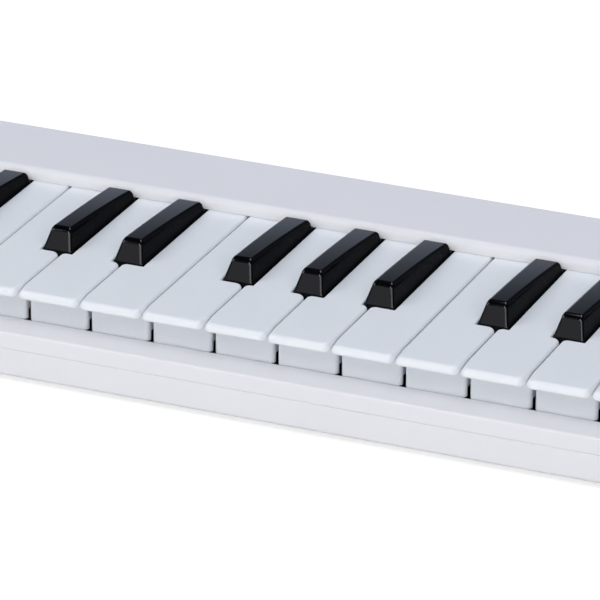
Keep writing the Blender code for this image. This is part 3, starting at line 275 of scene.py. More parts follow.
def stored(name: str, bm: Shape) -> bpy.types.Mesh:
    """Writes a shape into a new mesh, and frees the shape.

    Args:
        name: The mesh's name.
        bm: The shape.

    Returns:
        The mesh.
    """
    mesh = bpy.data.meshes.new(name)
    bm.to_mesh(mesh)
    bm.free()
    return mesh


def as_object(name: str, bm: Shape) -> bpy.types.Object:
    """Adds an object of a shape to the scene, and frees the shape.

    Args:
        name: The object's name.
        bm: The shape.

    Returns:
        The object.
    """
    obj = bpy.data.objects.new(name, stored(name, bm))
    bpy.context.scene.collection.objects.link(obj)
    return obj


def gather(shapes: Iterable[Shape]) -> Shape:
    """Puts several shapes that don't touch into one, and frees them.

    Args:
        shapes: The shapes.

    Returns:
        A new shape.
    """
    whole = bmesh.new()
    for shape in shapes:
        mesh = stored("gathered", shape)
        whole.from_mesh(mesh)
        bpy.data.meshes.remove(mesh)
    return whole


def drums(places: Iterable[Point], z: float, radius: float, length: float, segments: int) -> Shape:
    """Upright cylinders of one size, with their middles at a height over places in plan."""
    return gather(drum((x, y, z), radius, length, segments) for x, y in places)


def applied(held: Sequence[bpy.types.Object]) -> Shape:
    """Applies the modifiers of the first object, and removes every object given.

    Args:
        held: The object and those that its modifiers use.

    Returns:
        A new shape of the result.
    """
    bpy.context.view_layer.update()
    ready = held[0].evaluated_get(bpy.context.evaluated_depsgraph_get())
    result = bmesh.new()
    result.from_mesh(bpy.data.meshes.new_from_object(ready))
    for obj in held:
        bpy.data.objects.remove(obj, do_unlink=True)
    bmesh.ops.remove_doubles(result, verts=result.verts, dist=MERGE)
    return result


def combine(base: Shape, tool: Shape, how: Cut) -> Shape:
    """Cuts or joins two solids exactly, and frees both.

    Args:
        base: The solid that is worked on.
        tool: The solid that acts on it.
        how: Whether the tool is joined, removed, or the common part is kept.

    Returns:
        A new shape of the result.
    """
    held = [as_object("base", base), as_object("tool", tool)]
    modifier = held[0].modifiers.new("combine", "BOOLEAN")
    modifier.operation = how.value
    modifier.object = held[1]
    modifier.solver = "EXACT"
    return applied(held)


def sharp_edges(
    bm: Shape, test: Callable[[Vector, Vector], bool], least_deg: float = 40.0
) -> list[bmesh.types.BMEdge]:
    """Edges that fold by more than an angle and pass a test of their two ends.

    Args:
        bm: The shape to look at.
        test: Takes the two end points and says whether the edge counts.
        least_deg: Smallest fold that counts as an edge.

    Returns:
        The edges found.
    """
    bm.normal_update()
    least = math.radians(least_deg)
    return [
        edge for edge in bm.edges
        if len(edge.link_faces) == 2 and edge.calc_face_angle(0.0) > least
        and test(edge.verts[0].co, edge.verts[1].co)
    ]


def level(a: Vector, b: Vector, z: float) -> bool:
    """True if two points both lie at a height."""
    return abs(a.z - z) < TINY and abs(b.z - z) < TINY


def limited(value: float) -> float:
    """Limits a value to the range from 0 to 1."""
    return min(max(value, 0.0), 1.0)


def round_off(bm: Shape, edges: Iterable[bmesh.types.BMEdge], width: float, segments: int) -> None:
    """Rounds edges over.

    Args:
        bm: The shape.
        edges: The edges to round.
        width: Radius of the rounding.
        segments: Number of facets across it.
    """
    bmesh.ops.bevel(
        bm, geom=list(edges), offset=width, offset_type="OFFSET", segments=segments, profile=0.5,
        affect="EDGES", clamp_overlap=True, material=-1,
    )


def round_each(bm: Shape, radii: dict[int, float], segments: int) -> Shape:
    """Rounds each edge by a radius of its own, and frees the shape.

    Args:
        bm: The solid.
        radii: The radius of every edge that is rounded, by the edge's number.
        segments: Number of facets across a rounding.

    Returns:
        A new shape of the result.
    """
    widest = max(radii.values())
    weight = bm.edges.layers.float.new("bevel_weight_edge")
    bm.edges.ensure_lookup_table()
    for index, radius in radii.items():
        bm.edges[index][weight] = radius / widest
    obj = as_object("rounding", bm)
    modifier = obj.modifiers.new("rounding", "BEVEL")
    modifier.limit_method = "WEIGHT"
    modifier.width = widest
    modifier.segments = segments
    modifier.use_clamp_overlap = False
    return applied([obj])


def flatten_shading(mesh: bpy.types.Mesh) -> None:
    """Gives every corner a normal that leans to the largest faces there, so that flats stay flat.

    Args:
        mesh: The mesh. Its faces share no normal where they meet at more than SMOOTH_DEG.
    """
    least = math.cos(math.radians(SMOOTH_DEG))
    around: list[list[tuple[Vector, float]]] = [[] for _ in mesh.vertices]
    for face in mesh.polygons:
        for index in face.vertices:
            around[index].append((face.normal.copy(), face.area))
    normals = []
    for face in mesh.polygons:
        for index in face.vertices:
            total = Vector((0, 0, 0))
            for normal, area in around[index]:
                if normal.dot(face.normal) > least:
                    total += normal * area
            normals.append(total.normalized() if total.length > 0 else face.normal.copy())
    mesh.normals_split_custom_set(normals)


def set_inputs(node: bpy.types.Node, values: dict[str | int, object]) -> None:
    """Sets the values of a node's inputs, by name or number."""
    for key, value in values.items():
        node.inputs[key].default_value = value


def add_node(
    tree: bpy.types.NodeTree, kind: str, inputs: dict[str | int, object] | None = None, **settings: object
) -> bpy.types.Node:
    """Adds a shader node.

    Args:
        tree: The tree that it joins.
        kind: The kind of shader node.
        inputs: Values of its inputs, by name or number.
        settings: Its other properties.

    Returns:
        The new node.
    """
    node = tree.nodes.new(f"ShaderNode{kind}")
    for name, value in settings.items():
        setattr(node, name, value)
    set_inputs(node, inputs or {})
    return node


def wire(tree: bpy.types.NodeTree, *joins: tuple) -> None:
    """Links nodes, each join given as a node, its output, the next node and its input."""
    for source, output, target, socket in joins:
        tree.links.new(source.outputs[output], target.inputs[socket])


@dataclass(frozen=True)
class Workshop:
    """Turns shapes into finished pieces that ride on the frame's bodies.

    Attributes:
        frame: The loaded frame.
        side_x: Sideways part of a normal from which a face counts as a side.
        edge_x: The same for the facets of an edge between a side and the top.
        edge_y: Part along Y below which a facet belongs to such an edge.
    """

    frame: dict
    side_x: float = 0.8
    edge_x: float = 0.4
    edge_y: float = 0.3

    def piece(
        self, name: str, bm: Shape, body: str, finish: "Finish", slot: str,
        replaces: Sequence[str] = (), side_finish: "Finish | None" = None,
    ) -> None:
        """Makes a piece from a shape.

        Args:
            name: The piece's name.
            bm: Its shape, in the row's frame. It is freed.
            body: The body that it moves with.
            finish: Its finish.
            slot: Not used.
            replaces: The CAD nodes that it stands for.
            side_finish: The finish of its left and right sides and their long upper edges, if it differs.
        """
        obj = as_object(name, bm)
        mesh = obj.data
        mesh.materials.append(finish.material())
        if side_finish is not None:
            mesh.materials.append(side_finish.material())
            for face in mesh.polygons:
                x, y = abs(face.normal.x), abs(face.normal.y)
                face.material_index = int(x > self.side_x or (x > self.edge_x and y < self.edge_y))
        mesh.shade_smooth()
        mesh.set_sharp_from_angle(angle=math.radians(SMOOTH_DEG))
        flatten_shading(mesh)
        if replaces:
            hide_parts(*replaces)
        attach(obj, body)
        LOG.info("piece %s: %d faces", name, len(mesh.polygons))

    def key(
        self, name: str, colour: str, shape: bpy.types.Mesh, x: float, finish: "Finish",
        side_finish: "Finish | None" = None,
    ) -> None:
        """Makes a key that stands for its CAD node.

        Args:
            name: The node's name.
            colour: White or black, as the piece's name says it.
            shape: The key about its own middle. It is copied.
            x: Its place in the row.
            finish: Its finish.
            side_finish: The finish of its sides, if it differs.
        """
        bm = bmesh.new()
        bm.from_mesh(shape)
        bmesh.ops.translate(bm, vec=(x, 0, 0), verts=bm.verts)
        piece = name.replace("key", f"{colour}_key")
        self.piece(piece, bm, name, finish, f"key_{colour}", (name,), side_finish)

    def dress(self, node: str, finish: "Finish") -> None:
        """Gives a CAD node that stays in view its finish."""
        obj = self.frame["nodes"][node]
        obj.data.materials.clear()
        obj.data.materials.append(finish.material())
        LOG.info("node %s: %s", node, finish.name)


class ShaderGroups:
    """Node groups that every finish uses."""

    @staticmethod
    def start(
        name: str, inputs: dict[str, float], outputs: Sequence[str]
    ) -> tuple[bpy.types.NodeTree, bpy.types.Node, bpy.types.Node]:
        """Makes a group with named value sockets.

        Args:
            name: The group's name.
            inputs: Its inputs with their defaults.
            outputs: Its outputs.

        Returns:
            The new node tree, with its input node and its output node.
        """
        tree = bpy.data.node_groups.new(name, "ShaderNodeTree")
        for socket, default in inputs.items():
            made = tree.interface.new_socket(socket, in_out="INPUT", socket_type="NodeSocketFloat")
            made.default_value = default
        for socket in outputs:
            tree.interface.new_socket(socket, in_out="OUTPUT", socket_type="NodeSocketFloat")
        return tree, tree.nodes.new("NodeGroupInput"), tree.nodes.new("NodeGroupOutput")

    @classmethod
    def moulded_grain(cls) -> bpy.types.NodeTree:
        """Fine grain of a moulded surface, with slow flow marks in its tone.

        Returns:
            A group with Scale and Flow Scale in, and Height and Tone out.
        """
        name = "moulded grain"
        if name in bpy.data.node_groups:
            return bpy.data.node_groups[name]
        tree, source, sink = cls.start(name, {"Scale": 2500.0, "Flow Scale": 30.0}, ("Height", "Tone"))
        place = add_node(tree, "TexCoord")
        fine = add_node(tree, "TexNoise", {"Detail": 3.0})
        coarse = add_node(tree, "TexVoronoi", feature="SMOOTH_F1")
        mixer = add_node(tree, "Math", {1: 0.5}, operation="MULTIPLY_ADD")
        flow = add_node(tree, "TexNoise", {"Detail": 2.0})
        for texture, scale in ((fine, "Scale"), (coarse, "Scale"), (flow, "Flow Scale")):
            wire(tree, (place, "Object", texture, "Vector"), (source, scale, texture, "Scale"))
        wire(
            tree, (coarse, "Distance", mixer, 0), (fine, "Fac", mixer, 2), (mixer, 0, sink, "Height"),
            (flow, "Fac", sink, "Tone"),
        )
        return tree

    @classmethod
    def handling(cls) -> bpy.types.NodeTree:
        """Smudges and hairline marks that handling leaves in a polished surface.

        Returns:
            A group with Scale in, and Smudge and Hairlines out.
        """
        name = "handling marks"
        if name in bpy.data.node_groups:
            return bpy.data.node_groups[name]
        tree, source, sink = cls.start(name, {"Scale": 60.0}, ("Smudge", "Hairlines"))
        place = add_node(tree, "TexCoord")
        smudge = add_node(tree, "TexNoise", {"Detail": 4.0, "Distortion": 0.6})
        spread = add_node(tree, "MapRange", {"From Min": 0.45, "From Max": 0.75})
        stretch = add_node(tree, "Mapping", {"Scale": (1.0, 0.04, 1.0)})
        lines = add_node(tree, "TexNoise", {"Scale": 1800.0})
        wire(
            tree, (place, "Object", smudge, "Vector"), (source, "Scale", smudge, "Scale"),
            (smudge, "Fac", spread, "Value"), (spread, "Result", sink, "Smudge"),
            (place, "Object", stretch, "Vector"), (stretch, "Vector", lines, "Vector"),
            (lines, "Fac", sink, "Hairlines"),
        )
        return tree


@dataclass(frozen=True)
class Finish:
    """A moulded or rubbery surface: a colour that drifts slightly, and a fine grain.

    Attributes:
        name: The finish's name.
        colour: Linear colour.
        shade: Linear colour where the material runs slightly darker.
        roughness: Mean roughness.
        roughness_swing: How far smudges change the roughness.
        grain_scale: Grains per metre.
        grain_depth: Height of the grain.
        hairlines: Height of fine lines along the piece.
        specular: Specular level of the surface.
        metallic: 1 for bare metal.
        subsurface: How much light the material lets in.
        subsurface_depth: How far that light goes in.
        least_roughness: What smudges never go below.
    """

    name: str
    colour: Colour
    shade: Colour
    roughness: float
    roughness_swing: float = 0.05
    grain_scale: float = 2500.0
    grain_depth: float = 0.00001
    hairlines: float = 0.0
    specular: float = 0.5
    metallic: float = 0.0
    subsurface: float = 0.0
    subsurface_depth: float = 2.0 * MM
    least_roughness: float = 0.02

    def material(self) -> bpy.types.Material:
        """Makes the finish's material, or finds the one made before.

        Returns:
            The material.
        """
        if self.name in bpy.data.materials:
            return bpy.data.materials[self.name]
        made = bpy.data.materials.new(self.name)
        made.use_nodes = True
        tree = made.node_tree
        shader = tree.nodes["Principled BSDF"]
        set_inputs(shader, {
            "Metallic": self.metallic, "Specular IOR Level": self.specular,
            "Subsurface Weight": self.subsurface, "Subsurface Scale": self.subsurface_depth,
        })
        grain = add_node(tree, "Group", {"Scale": self.grain_scale}, node_tree=ShaderGroups.moulded_grain())
        self.add_colour(tree, shader, grain)
        self.add_surface(tree, shader, grain)
        return made

    def add_colour(self, tree: bpy.types.NodeTree, shader: bpy.types.Node, grain: bpy.types.Node) -> None:
        """Mixes the colour and its shade by the flow marks."""
        mix = add_node(tree, "Mix", {"A": (*self.colour, 1.0), "B": (*self.shade, 1.0)}, data_type="RGBA")
        wire(tree, (grain, "Tone", mix, "Factor"), (mix, "Result", shader, "Base Color"))

    def add_surface(self, tree: bpy.types.NodeTree, shader: bpy.types.Node, grain: bpy.types.Node) -> None:
        """Adds the roughness that smudges change, and the grain and hairlines as relief.

        Args:
            tree: The material's node tree.
            shader: Its shader.
            grain: Its grain.
        """
        marks = add_node(tree, "Group", node_tree=ShaderGroups.handling())
        spread = add_node(tree, "MapRange", {
            "To Min": max(self.roughness - self.roughness_swing, self.least_roughness),
            "To Max": self.roughness + self.roughness_swing,
        })
        bump = add_node(tree, "Bump", {"Distance": self.grain_depth})
        wire(
            tree, (marks, "Smudge", spread, "Value"), (spread, "Result", shader, "Roughness"),
            (grain, "Height", bump, "Height"), (bump, "Normal", shader, "Normal"),
        )
        if self.hairlines:
            lines = add_node(tree, "Bump", {"Distance": self.hairlines})
            wire(tree, (marks, "Hairlines", lines, "Height"), (lines, "Normal", bump, "Normal"))


@dataclass(frozen=True)
class Palette:
    """Every finish on the keyboard."""

    case: Finish = Finish(
        "case white", (0.77, 0.77, 0.803), (0.755, 0.758, 0.793), 0.48, 0.04, 2600.0, 0.000012
    )
    white_key: Finish = Finish(
        "key white", (0.79, 0.815, 0.848), (0.775, 0.80, 0.836), 0.32, 0.04, 900.0, 0.000003,
        subsurface=0.05,
    )
    black_key: Finish = Finish(
        "key black", (0.0016, 0.0017, 0.0024), (0.0012, 0.0013, 0.0018), 0.12, 0.03, 1200.0, 0.000002,
        hairlines=0.0000006,
    )
    black_side: Finish = Finish(
        "key black side", (0.0040, 0.0043, 0.0052), (0.0032, 0.0034, 0.0042), 0.30, 0.05, 1600.0, 0.000004,
        specular=0.012,
    )
    inner: Finish = Finish("inner moulding", (0.020, 0.020, 0.022), (0.016, 0.016, 0.018), 0.6)
    control: Finish = Finish(
        "control grey", (0.50, 0.51, 0.54), (0.47, 0.48, 0.51), 0.52, 0.06, 1800.0, 0.000018
    )
    steel: Finish = Finish(
        "drawn steel", (0.62, 0.62, 0.63), (0.52, 0.52, 0.54), 0.28, 0.08, 3000.0, 0.000002,
        hairlines=0.000003, metallic=1.0,
    )
    silicone: Finish = Finish(
        "silicone", (0.42, 0.42, 0.44), (0.36, 0.36, 0.38), 0.62, 0.06, 1500.0, subsurface=0.1
    )
    felt: Finish = Finish("felt", (0.24, 0.05, 0.05), (0.12, 0.03, 0.03), 0.95, 0.03, 2200.0, 0.0002)
    board: Finish = Finish(
        "lacquered board", (0.025, 0.11, 0.055), (0.015, 0.07, 0.035), 0.35, 0.08, 900.0, 0.00003
    )
    ribbon: Finish = Finish(
        "ribbon cable", (0.50, 0.51, 0.54), (0.42, 0.43, 0.46), 0.5, 0.05, 800.0, 0.00002
    )
    rubber: Finish = Finish(
        "foot rubber", (0.030, 0.030, 0.031), (0.020, 0.020, 0.021), 0.85, 0.06, 2200.0, 0.00004
    )
    lens: Finish = Finish(
        "light lens", (0.78, 0.80, 0.80), (0.72, 0.74, 0.75), 0.12, 0.03, 600.0, 0.000004, subsurface=0.3
    )
    screw: Finish = Finish(
        "blackened steel", (0.09, 0.09, 0.095), (0.05, 0.05, 0.055), 0.35, 0.1, 2600.0, 0.000006,
        metallic=1.0,
    )


@dataclass(frozen=True)
class Layout:
    """Places that the case shares with the parts in it.

    Attributes:
        panel_z: Height of the panel.
        wheels: Middle X of each wheel, by its node.
        wheel_y: Middle Y of both wheels.
        button_x: Middle X of both buttons.
        buttons: Middle Y of each button, by its node.
        light: Place of the power light.
        socket_x: Middle X of the socket in the rear wall.
        foot_x: Distance of the feet from the middle, in X.
        foot_y: Their distance in Y.
    """

    panel_z: float = 35.4 * MM
    wheels: tuple[tuple[str, float], ...] = (("pitch_wheel", -192.45 * MM), ("mod_wheel", -181.55 * MM))
    wheel_y: float = 46.8 * MM
    button_x: float = -163.5 * MM
    buttons: tuple[tuple[str, float], ...] = (
        ("octave_down_button", 41.0 * MM), ("octave_up_button", 52.2 * MM)
    )
    light: Point = (-163.5 * MM, 32.5 * MM)
    socket_x: float = -120.0 * MM
    foot_x: float = 190.0 * MM
    foot_y: float = 46.0 * MM

    def feet(self) -> dict[str, Point]:
        """Place of each foot, by its node."""
        return {
            f"foot_{end}_{side}": (x, y)
            for side, x in (("left", -self.foot_x), ("right", self.foot_x))
            for end, y in (("front", -self.foot_y), ("rear", self.foot_y))
        }


@dataclass(frozen=True)
class Keybed:
    """Where the keys lie, and what the white and the black ones share.

    Attributes:
        whites: Number of white keys.
        letters: Their order from the lowest.
        offsets: Distance of each black key's middle from the joint on its left key's right side.
        pivot: Place and height of the hinge rod.
        top_z: Height of the white keys' tops.
        tail_z: Height of the keys' tails.
        tail_chamfer: Depth and height of the chamfer on a tail's rear edge.
        skirt_z: Height of the lower edges of a key's sides.
        wall: Thickness of a key's walls.
        hook_ys: Front and rear of the snap hook.
        hook_low_z: Height of its lower edge.
        hook_top_z: Height up to which it is narrower than the key.
        narrow_y: Where it gets narrower.
        bore: Radius of its bore.
        mouth: Half the width of its mouth.
        rib: Half the thickness of the rib over the dome.
        plunger: Half the thickness and the height of the rib's lower end.
        low_z: Height below every key, where cutters start.
        high_z: Height above every key.
        far_y: Place behind every key.
    """

    whites: int = 19
    letters: str = "FGABCDE"
    offsets: dict[str, float] = field(
        default_factory=lambda: {
            "F": -2.9 * MM, "G": -0.2 * MM, "A": 2.5 * MM, "C": -2.0 * MM, "D": 1.6 * MM
        }
    )
    pivot: Point = (32.0 * MM, 24.5 * MM)
    top_z: float = 31.6 * MM
    tail_z: float = 30.2 * MM
    tail_chamfer: Point = (1.2 * MM, 2.2 * MM)
    skirt_z: float = 21.0 * MM
    wall: float = 1.3 * MM
    hook_ys: Point = (27.6 * MM, 35.4 * MM)
    hook_low_z: float = 22.0 * MM
    hook_top_z: float = 29.0 * MM
    narrow_y: float = 26.8 * MM
    bore: float = 1.8 * MM
    mouth: float = 1.3 * MM
    rib: float = 1.4 * MM
    plunger: Point = (0.84 * MM, 19.0 * MM)
    low_z: float = 10.0 * MM
    high_z: float = 40.0 * MM
    far_y: float = 40.0 * MM

    def joint_x(self, index: int) -> float:
        """X of the joint at the left side of a white key."""
        return (index - self.whites / 2) * KEY_PITCH

    def white_names(self) -> list[str]:
        """Names of the white keys from the lowest."""
        names, octave = [], 1
        for index in range(self.whites):
            letter = self.letters[index % len(self.letters)]
            octave += letter == "C"
            names.append(f"key_{letter.lower()}{octave}")
        return names

    def offset_above(self, index: int) -> float | None:
        """Offset of the black key at the right of a white key, or None."""
        if index < 0 or index >= self.whites - 1:
            return None
        return self.offsets.get(self.letters[index % len(self.letters)])

    def black_places(self) -> dict[str, float]:
        """Middle X of each black key by name."""
        names = self.white_names()
        return {
            f"key_{names[i][4]}s{names[i][5:]}": self.joint_x(i + 1) + self.offset_above(i)
            for i in range(self.whites) if self.offset_above(i) is not None
        }

    def underside(self) -> list[Point]:
        """The (y, z) points of a key's tail, snap hook, skirt and plunger, from the tail forwards."""
        (y, z), (front, rear), low = self.pivot, self.hook_ys, self.hook_low_z
        turn = math.degrees(math.asin(self.mouth / self.bore))
        points = [(rear - self.tail_chamfer[0], self.tail_z), (rear, self.tail_z - self.tail_chamfer[1])]
        points += [(rear, low + 1.0 * MM), (rear - 0.8 * MM, low), (y + self.mouth, low)]
        points += arc((y, z), self.bore, -90 + turn, 270 - turn, 24)
        points += [(y - self.mouth, low), (front + 1.0 * MM, low), (front - 1.0 * MM, self.skirt_z)]
        points += [(self.rib, self.skirt_z), self.plunger, (-self.plunger[0], self.plunger[1])]
        return points + [(-self.rib, self.skirt_z)]

    def pocket(self, left: float, right: float, front: float, rear: float, ceiling: float) -> Shape:
        """Cutter for a pocket that is open below."""
        return box((left, front, self.low_z), (right, rear, ceiling))

    def narrowing(self, edge_x: float, side: int, inset: float, reach: float = 3.0 * MM) -> Shape:
        """Cutter that narrows the snap hook on one side.

        Args:
            edge_x: X of the key's edge on that side.
            side: -1 for the left side, 1 for the right.
            inset: How far the hook lies inside the edge.
            reach: How far the cutter goes past the edge.

        Returns:
            A new shape.
        """
        left, right = sorted((edge_x - side * inset, edge_x + side * reach))
        return box((left, self.narrow_y, self.low_z), (right, self.far_y, self.hook_top_z))


@dataclass
class WhiteKeys:
    """The white keys: a rounded overhanging top on a ribbed, hollow body with a snap hook."""

    bed: Keybed
    lip_y: float = -59.25 * MM
    lip_thickness: float = 2.8 * MM
    lip_top_radius: float = 1.9 * MM
    lip_bottom_radius: float = 0.85 * MM
    half_top: float = 10.2 * MM
    body_left: float = -10.08 * MM
    body_right: float = 9.6 * MM
    rear_y: float = 26.0 * MM
    lip_corner: float = 2.3 * MM
    lip_blend: float = 5.0 * MM
    edge_rounding: float = 0.75 * MM
    under_rounding: float = 0.3 * MM
    left_corner: float = 0.9 * MM
    right_corner: float = 1.7 * MM
    foot_rounding: float = 0.15 * MM
    front_y: float = -50.2 * MM
    front_bottom_z: float = 18.0 * MM
    ceiling_z: float = 29.8 * MM
    front_wall: float = 1.8 * MM
    notch_y: float = -25.8 * MM
    notch_half: float = 5.35 * MM
    notch_walls: Point = (1.8 * MM, 1.6 * MM)
    corner_below: float = 3.0 * MM
    corner_above: float = 2.0 * MM
    pocket_rear_y: float = 24.6 * MM
    hook_inset: float = 2.4 * MM
    sink: float = 0.06 * MM

    def plan(self, shank: Point, notch_y: float, front_y: float, front_corner: float) -> list[Point]:
        """Outline of a key from above, with its notches and its rounded corners.

        Args:
            shank: Left and right side of the part between the black keys.
            notch_y: Where the notches begin.
            front_y: Where the outline begins.
            front_corner: Radius of its two front corners.

        Returns:
            The (x, y) points, anticlockwise.
        """
        half, rear = self.half_top, self.rear_y
        points = [(-half, front_y), (half, front_y)]
        if front_corner:
            side_ys = [front_y + front_corner + self.lip_blend * i / 8 for i in range(8, 0, -1)]
            points = [(-half, y) for y in side_ys]
            points += arc((-half + front_corner, front_y + front_corner), front_corner, 180, 270, 10)
            points += arc((half - front_corner, front_y + front_corner), front_corner, 270, 360, 10)
            points += [(half, y) for y in reversed(side_ys)]
        if shank[1] < half - TINY:
            radius = min(self.corner_below, half - shank[1])
            points += arc((half - radius, notch_y - radius), radius, 0, 90, 8)
            points += [(shank[1], notch_y), (shank[1], rear)]
        else:
            points.append((half, rear))
        if shank[0] > -half + TINY:
            radius = min(self.corner_above, half + shank[0])
            points += [(shank[0], rear), (shank[0], notch_y)]
            points += arc((-half + radius, notch_y - radius), radius, 90, 180, 8)
        else:
            points.append((-half, rear))
        kept = [points[0]]
        for point in points[1:]:
            if math.dist(point, kept[-1]) > TINY:
                kept.append(point)
        return kept

    def top_plate(self, shank: Point) -> Shape:
        """Top plate of one key shape: its lip is rounded more than its sides.

        Args:
            shank: Left and right side of the part between the black keys.

        Returns:
            The plate.
        """
        low_z, top_z = self.bed.top_z - self.lip_thickness, self.bed.top_z
        plate = prism(self.plan(shank, self.notch_y, self.lip_y, self.lip_corner), low_z, top_z, Axis.Z)
        radii: dict[int, float] = {}
        plate.edges.index_update()
        for edge in plate.edges:
            a, b = (vert.co for vert in edge.verts)
            if abs(a.z - b.z) > TINY or min(a.y, b.y) > self.rear_y - TINY:
                continue
            share = limited(((a.y + b.y) / 2 - self.lip_y - self.lip_corner) / self.lip_blend)
            share = share * share * (3 - 2 * share)
            top = a.z > (low_z + top_z) / 2
            front = self.lip_top_radius if top else self.lip_bottom_radius
            side = self.edge_rounding if top else self.under_rounding
            radii[edge.index] = front + (side - front) * share
        return round_each(plate, radii, 6)

    def body(self, shank: Point) -> Shape:
        """Lower part of one key shape: front wall, skirt, ribs, plunger and hook.

        Args:
            shank: Left and right side of the part between the black keys.

        Returns:
            The body, which lies a little inside the plate's notches.
        """
        bed, inner_y, foot_z = self.bed, self.front_y + self.front_wall, self.front_bottom_z
        outline = [(inner_y, bed.skirt_z), (inner_y, foot_z), (self.front_y, foot_z)]
        outline += [(self.front_y, bed.tail_z)] + bed.underside()
        body = prism(outline, self.body_left, self.body_right)
        edge_y = self.front_y + HAIR
        for side, radius in ((-1, self.left_corner), (1, self.right_corner)):
            upright = sharp_edges(
                body, lambda a, b: max(a.y, b.y) < edge_y and abs(a.x - b.x) < TINY and a.x * side > 0
            )
            round_off(body, upright, radius, 7)
        reach = edge_y + self.right_corner
        foot = sharp_edges(body, lambda a, b: max(a.z, b.z) < foot_z + HAIR and max(a.y, b.y) < reach)
        round_off(body, foot, self.foot_rounding, 2)
        narrow = (shank[0] + self.sink, shank[1] - self.sink)
        plan = self.plan(narrow, self.notch_y - self.sink, self.lip_y - 2 * MM, 0.0)
        plan = [(x, bed.far_y if y > self.rear_y - TINY else y) for x, y in plan]
        return combine(body, prism(plan, bed.low_z, bed.high_z, Axis.Z), Cut.KEEP_COMMON)

    def hollows(self, shank: Point) -> Shape:
        """The three pockets under a key, and what narrows its hook.

        Args:
            shank: Left and right side of the part between the black keys.

        Returns:
            The cutters in one shape.
        """
        bed = self.bed
        head = (self.body_left + bed.wall, self.body_right - bed.wall)
        tail = (max(shank[0], self.body_left) + bed.wall, min(shank[1], self.body_right) - bed.wall)
        front, rear = self.notch_walls
        shapes = [
            bed.pocket(*head, self.front_y + self.front_wall, self.notch_y - front, self.ceiling_z),
            bed.pocket(*tail, self.notch_y + rear, -bed.rib, self.ceiling_z),
            bed.pocket(*tail, bed.rib, self.pocket_rear_y, self.ceiling_z),
        ]
        shapes += [bed.narrowing(x, side, self.hook_inset) for x, side in zip(shank, (-1, 1))]
        return gather(shapes)

    def shape(self, below: float | None, above: float | None) -> Shape:
        """A whole key about its own middle.

        Args:
            below: Offset of the black key on its left, or None.
            above: Offset of the black key on its right, or None.

        Returns:
            The key.
        """
        half = KEY_PITCH / 2
        shank = (
            -self.half_top if below is None else -half + below + self.notch_half,
            self.half_top if above is None else half + above - self.notch_half,
        )
        whole = combine(self.top_plate(shank), self.body(shank), Cut.JOIN)
        return combine(whole, self.hollows(shank), Cut.REMOVE)

    def build(self, shop: Workshop, finish: Finish) -> None:
        """Makes every white key, from one mesh for all keys of the same shape.

        Args:
            shop: Makes the pieces.
            finish: Their finish.
        """
        made: dict[tuple[float | None, float | None], bpy.types.Mesh] = {}
        for index, name in enumerate(self.bed.white_names()):
            beside = (self.bed.offset_above(index - 1), self.bed.offset_above(index))
            if beside not in made:
                made[beside] = stored("white key shape", self.shape(*beside))
            shop.key(name, "white", made[beside], self.bed.joint_x(index) + KEY_PITCH / 2, finish)


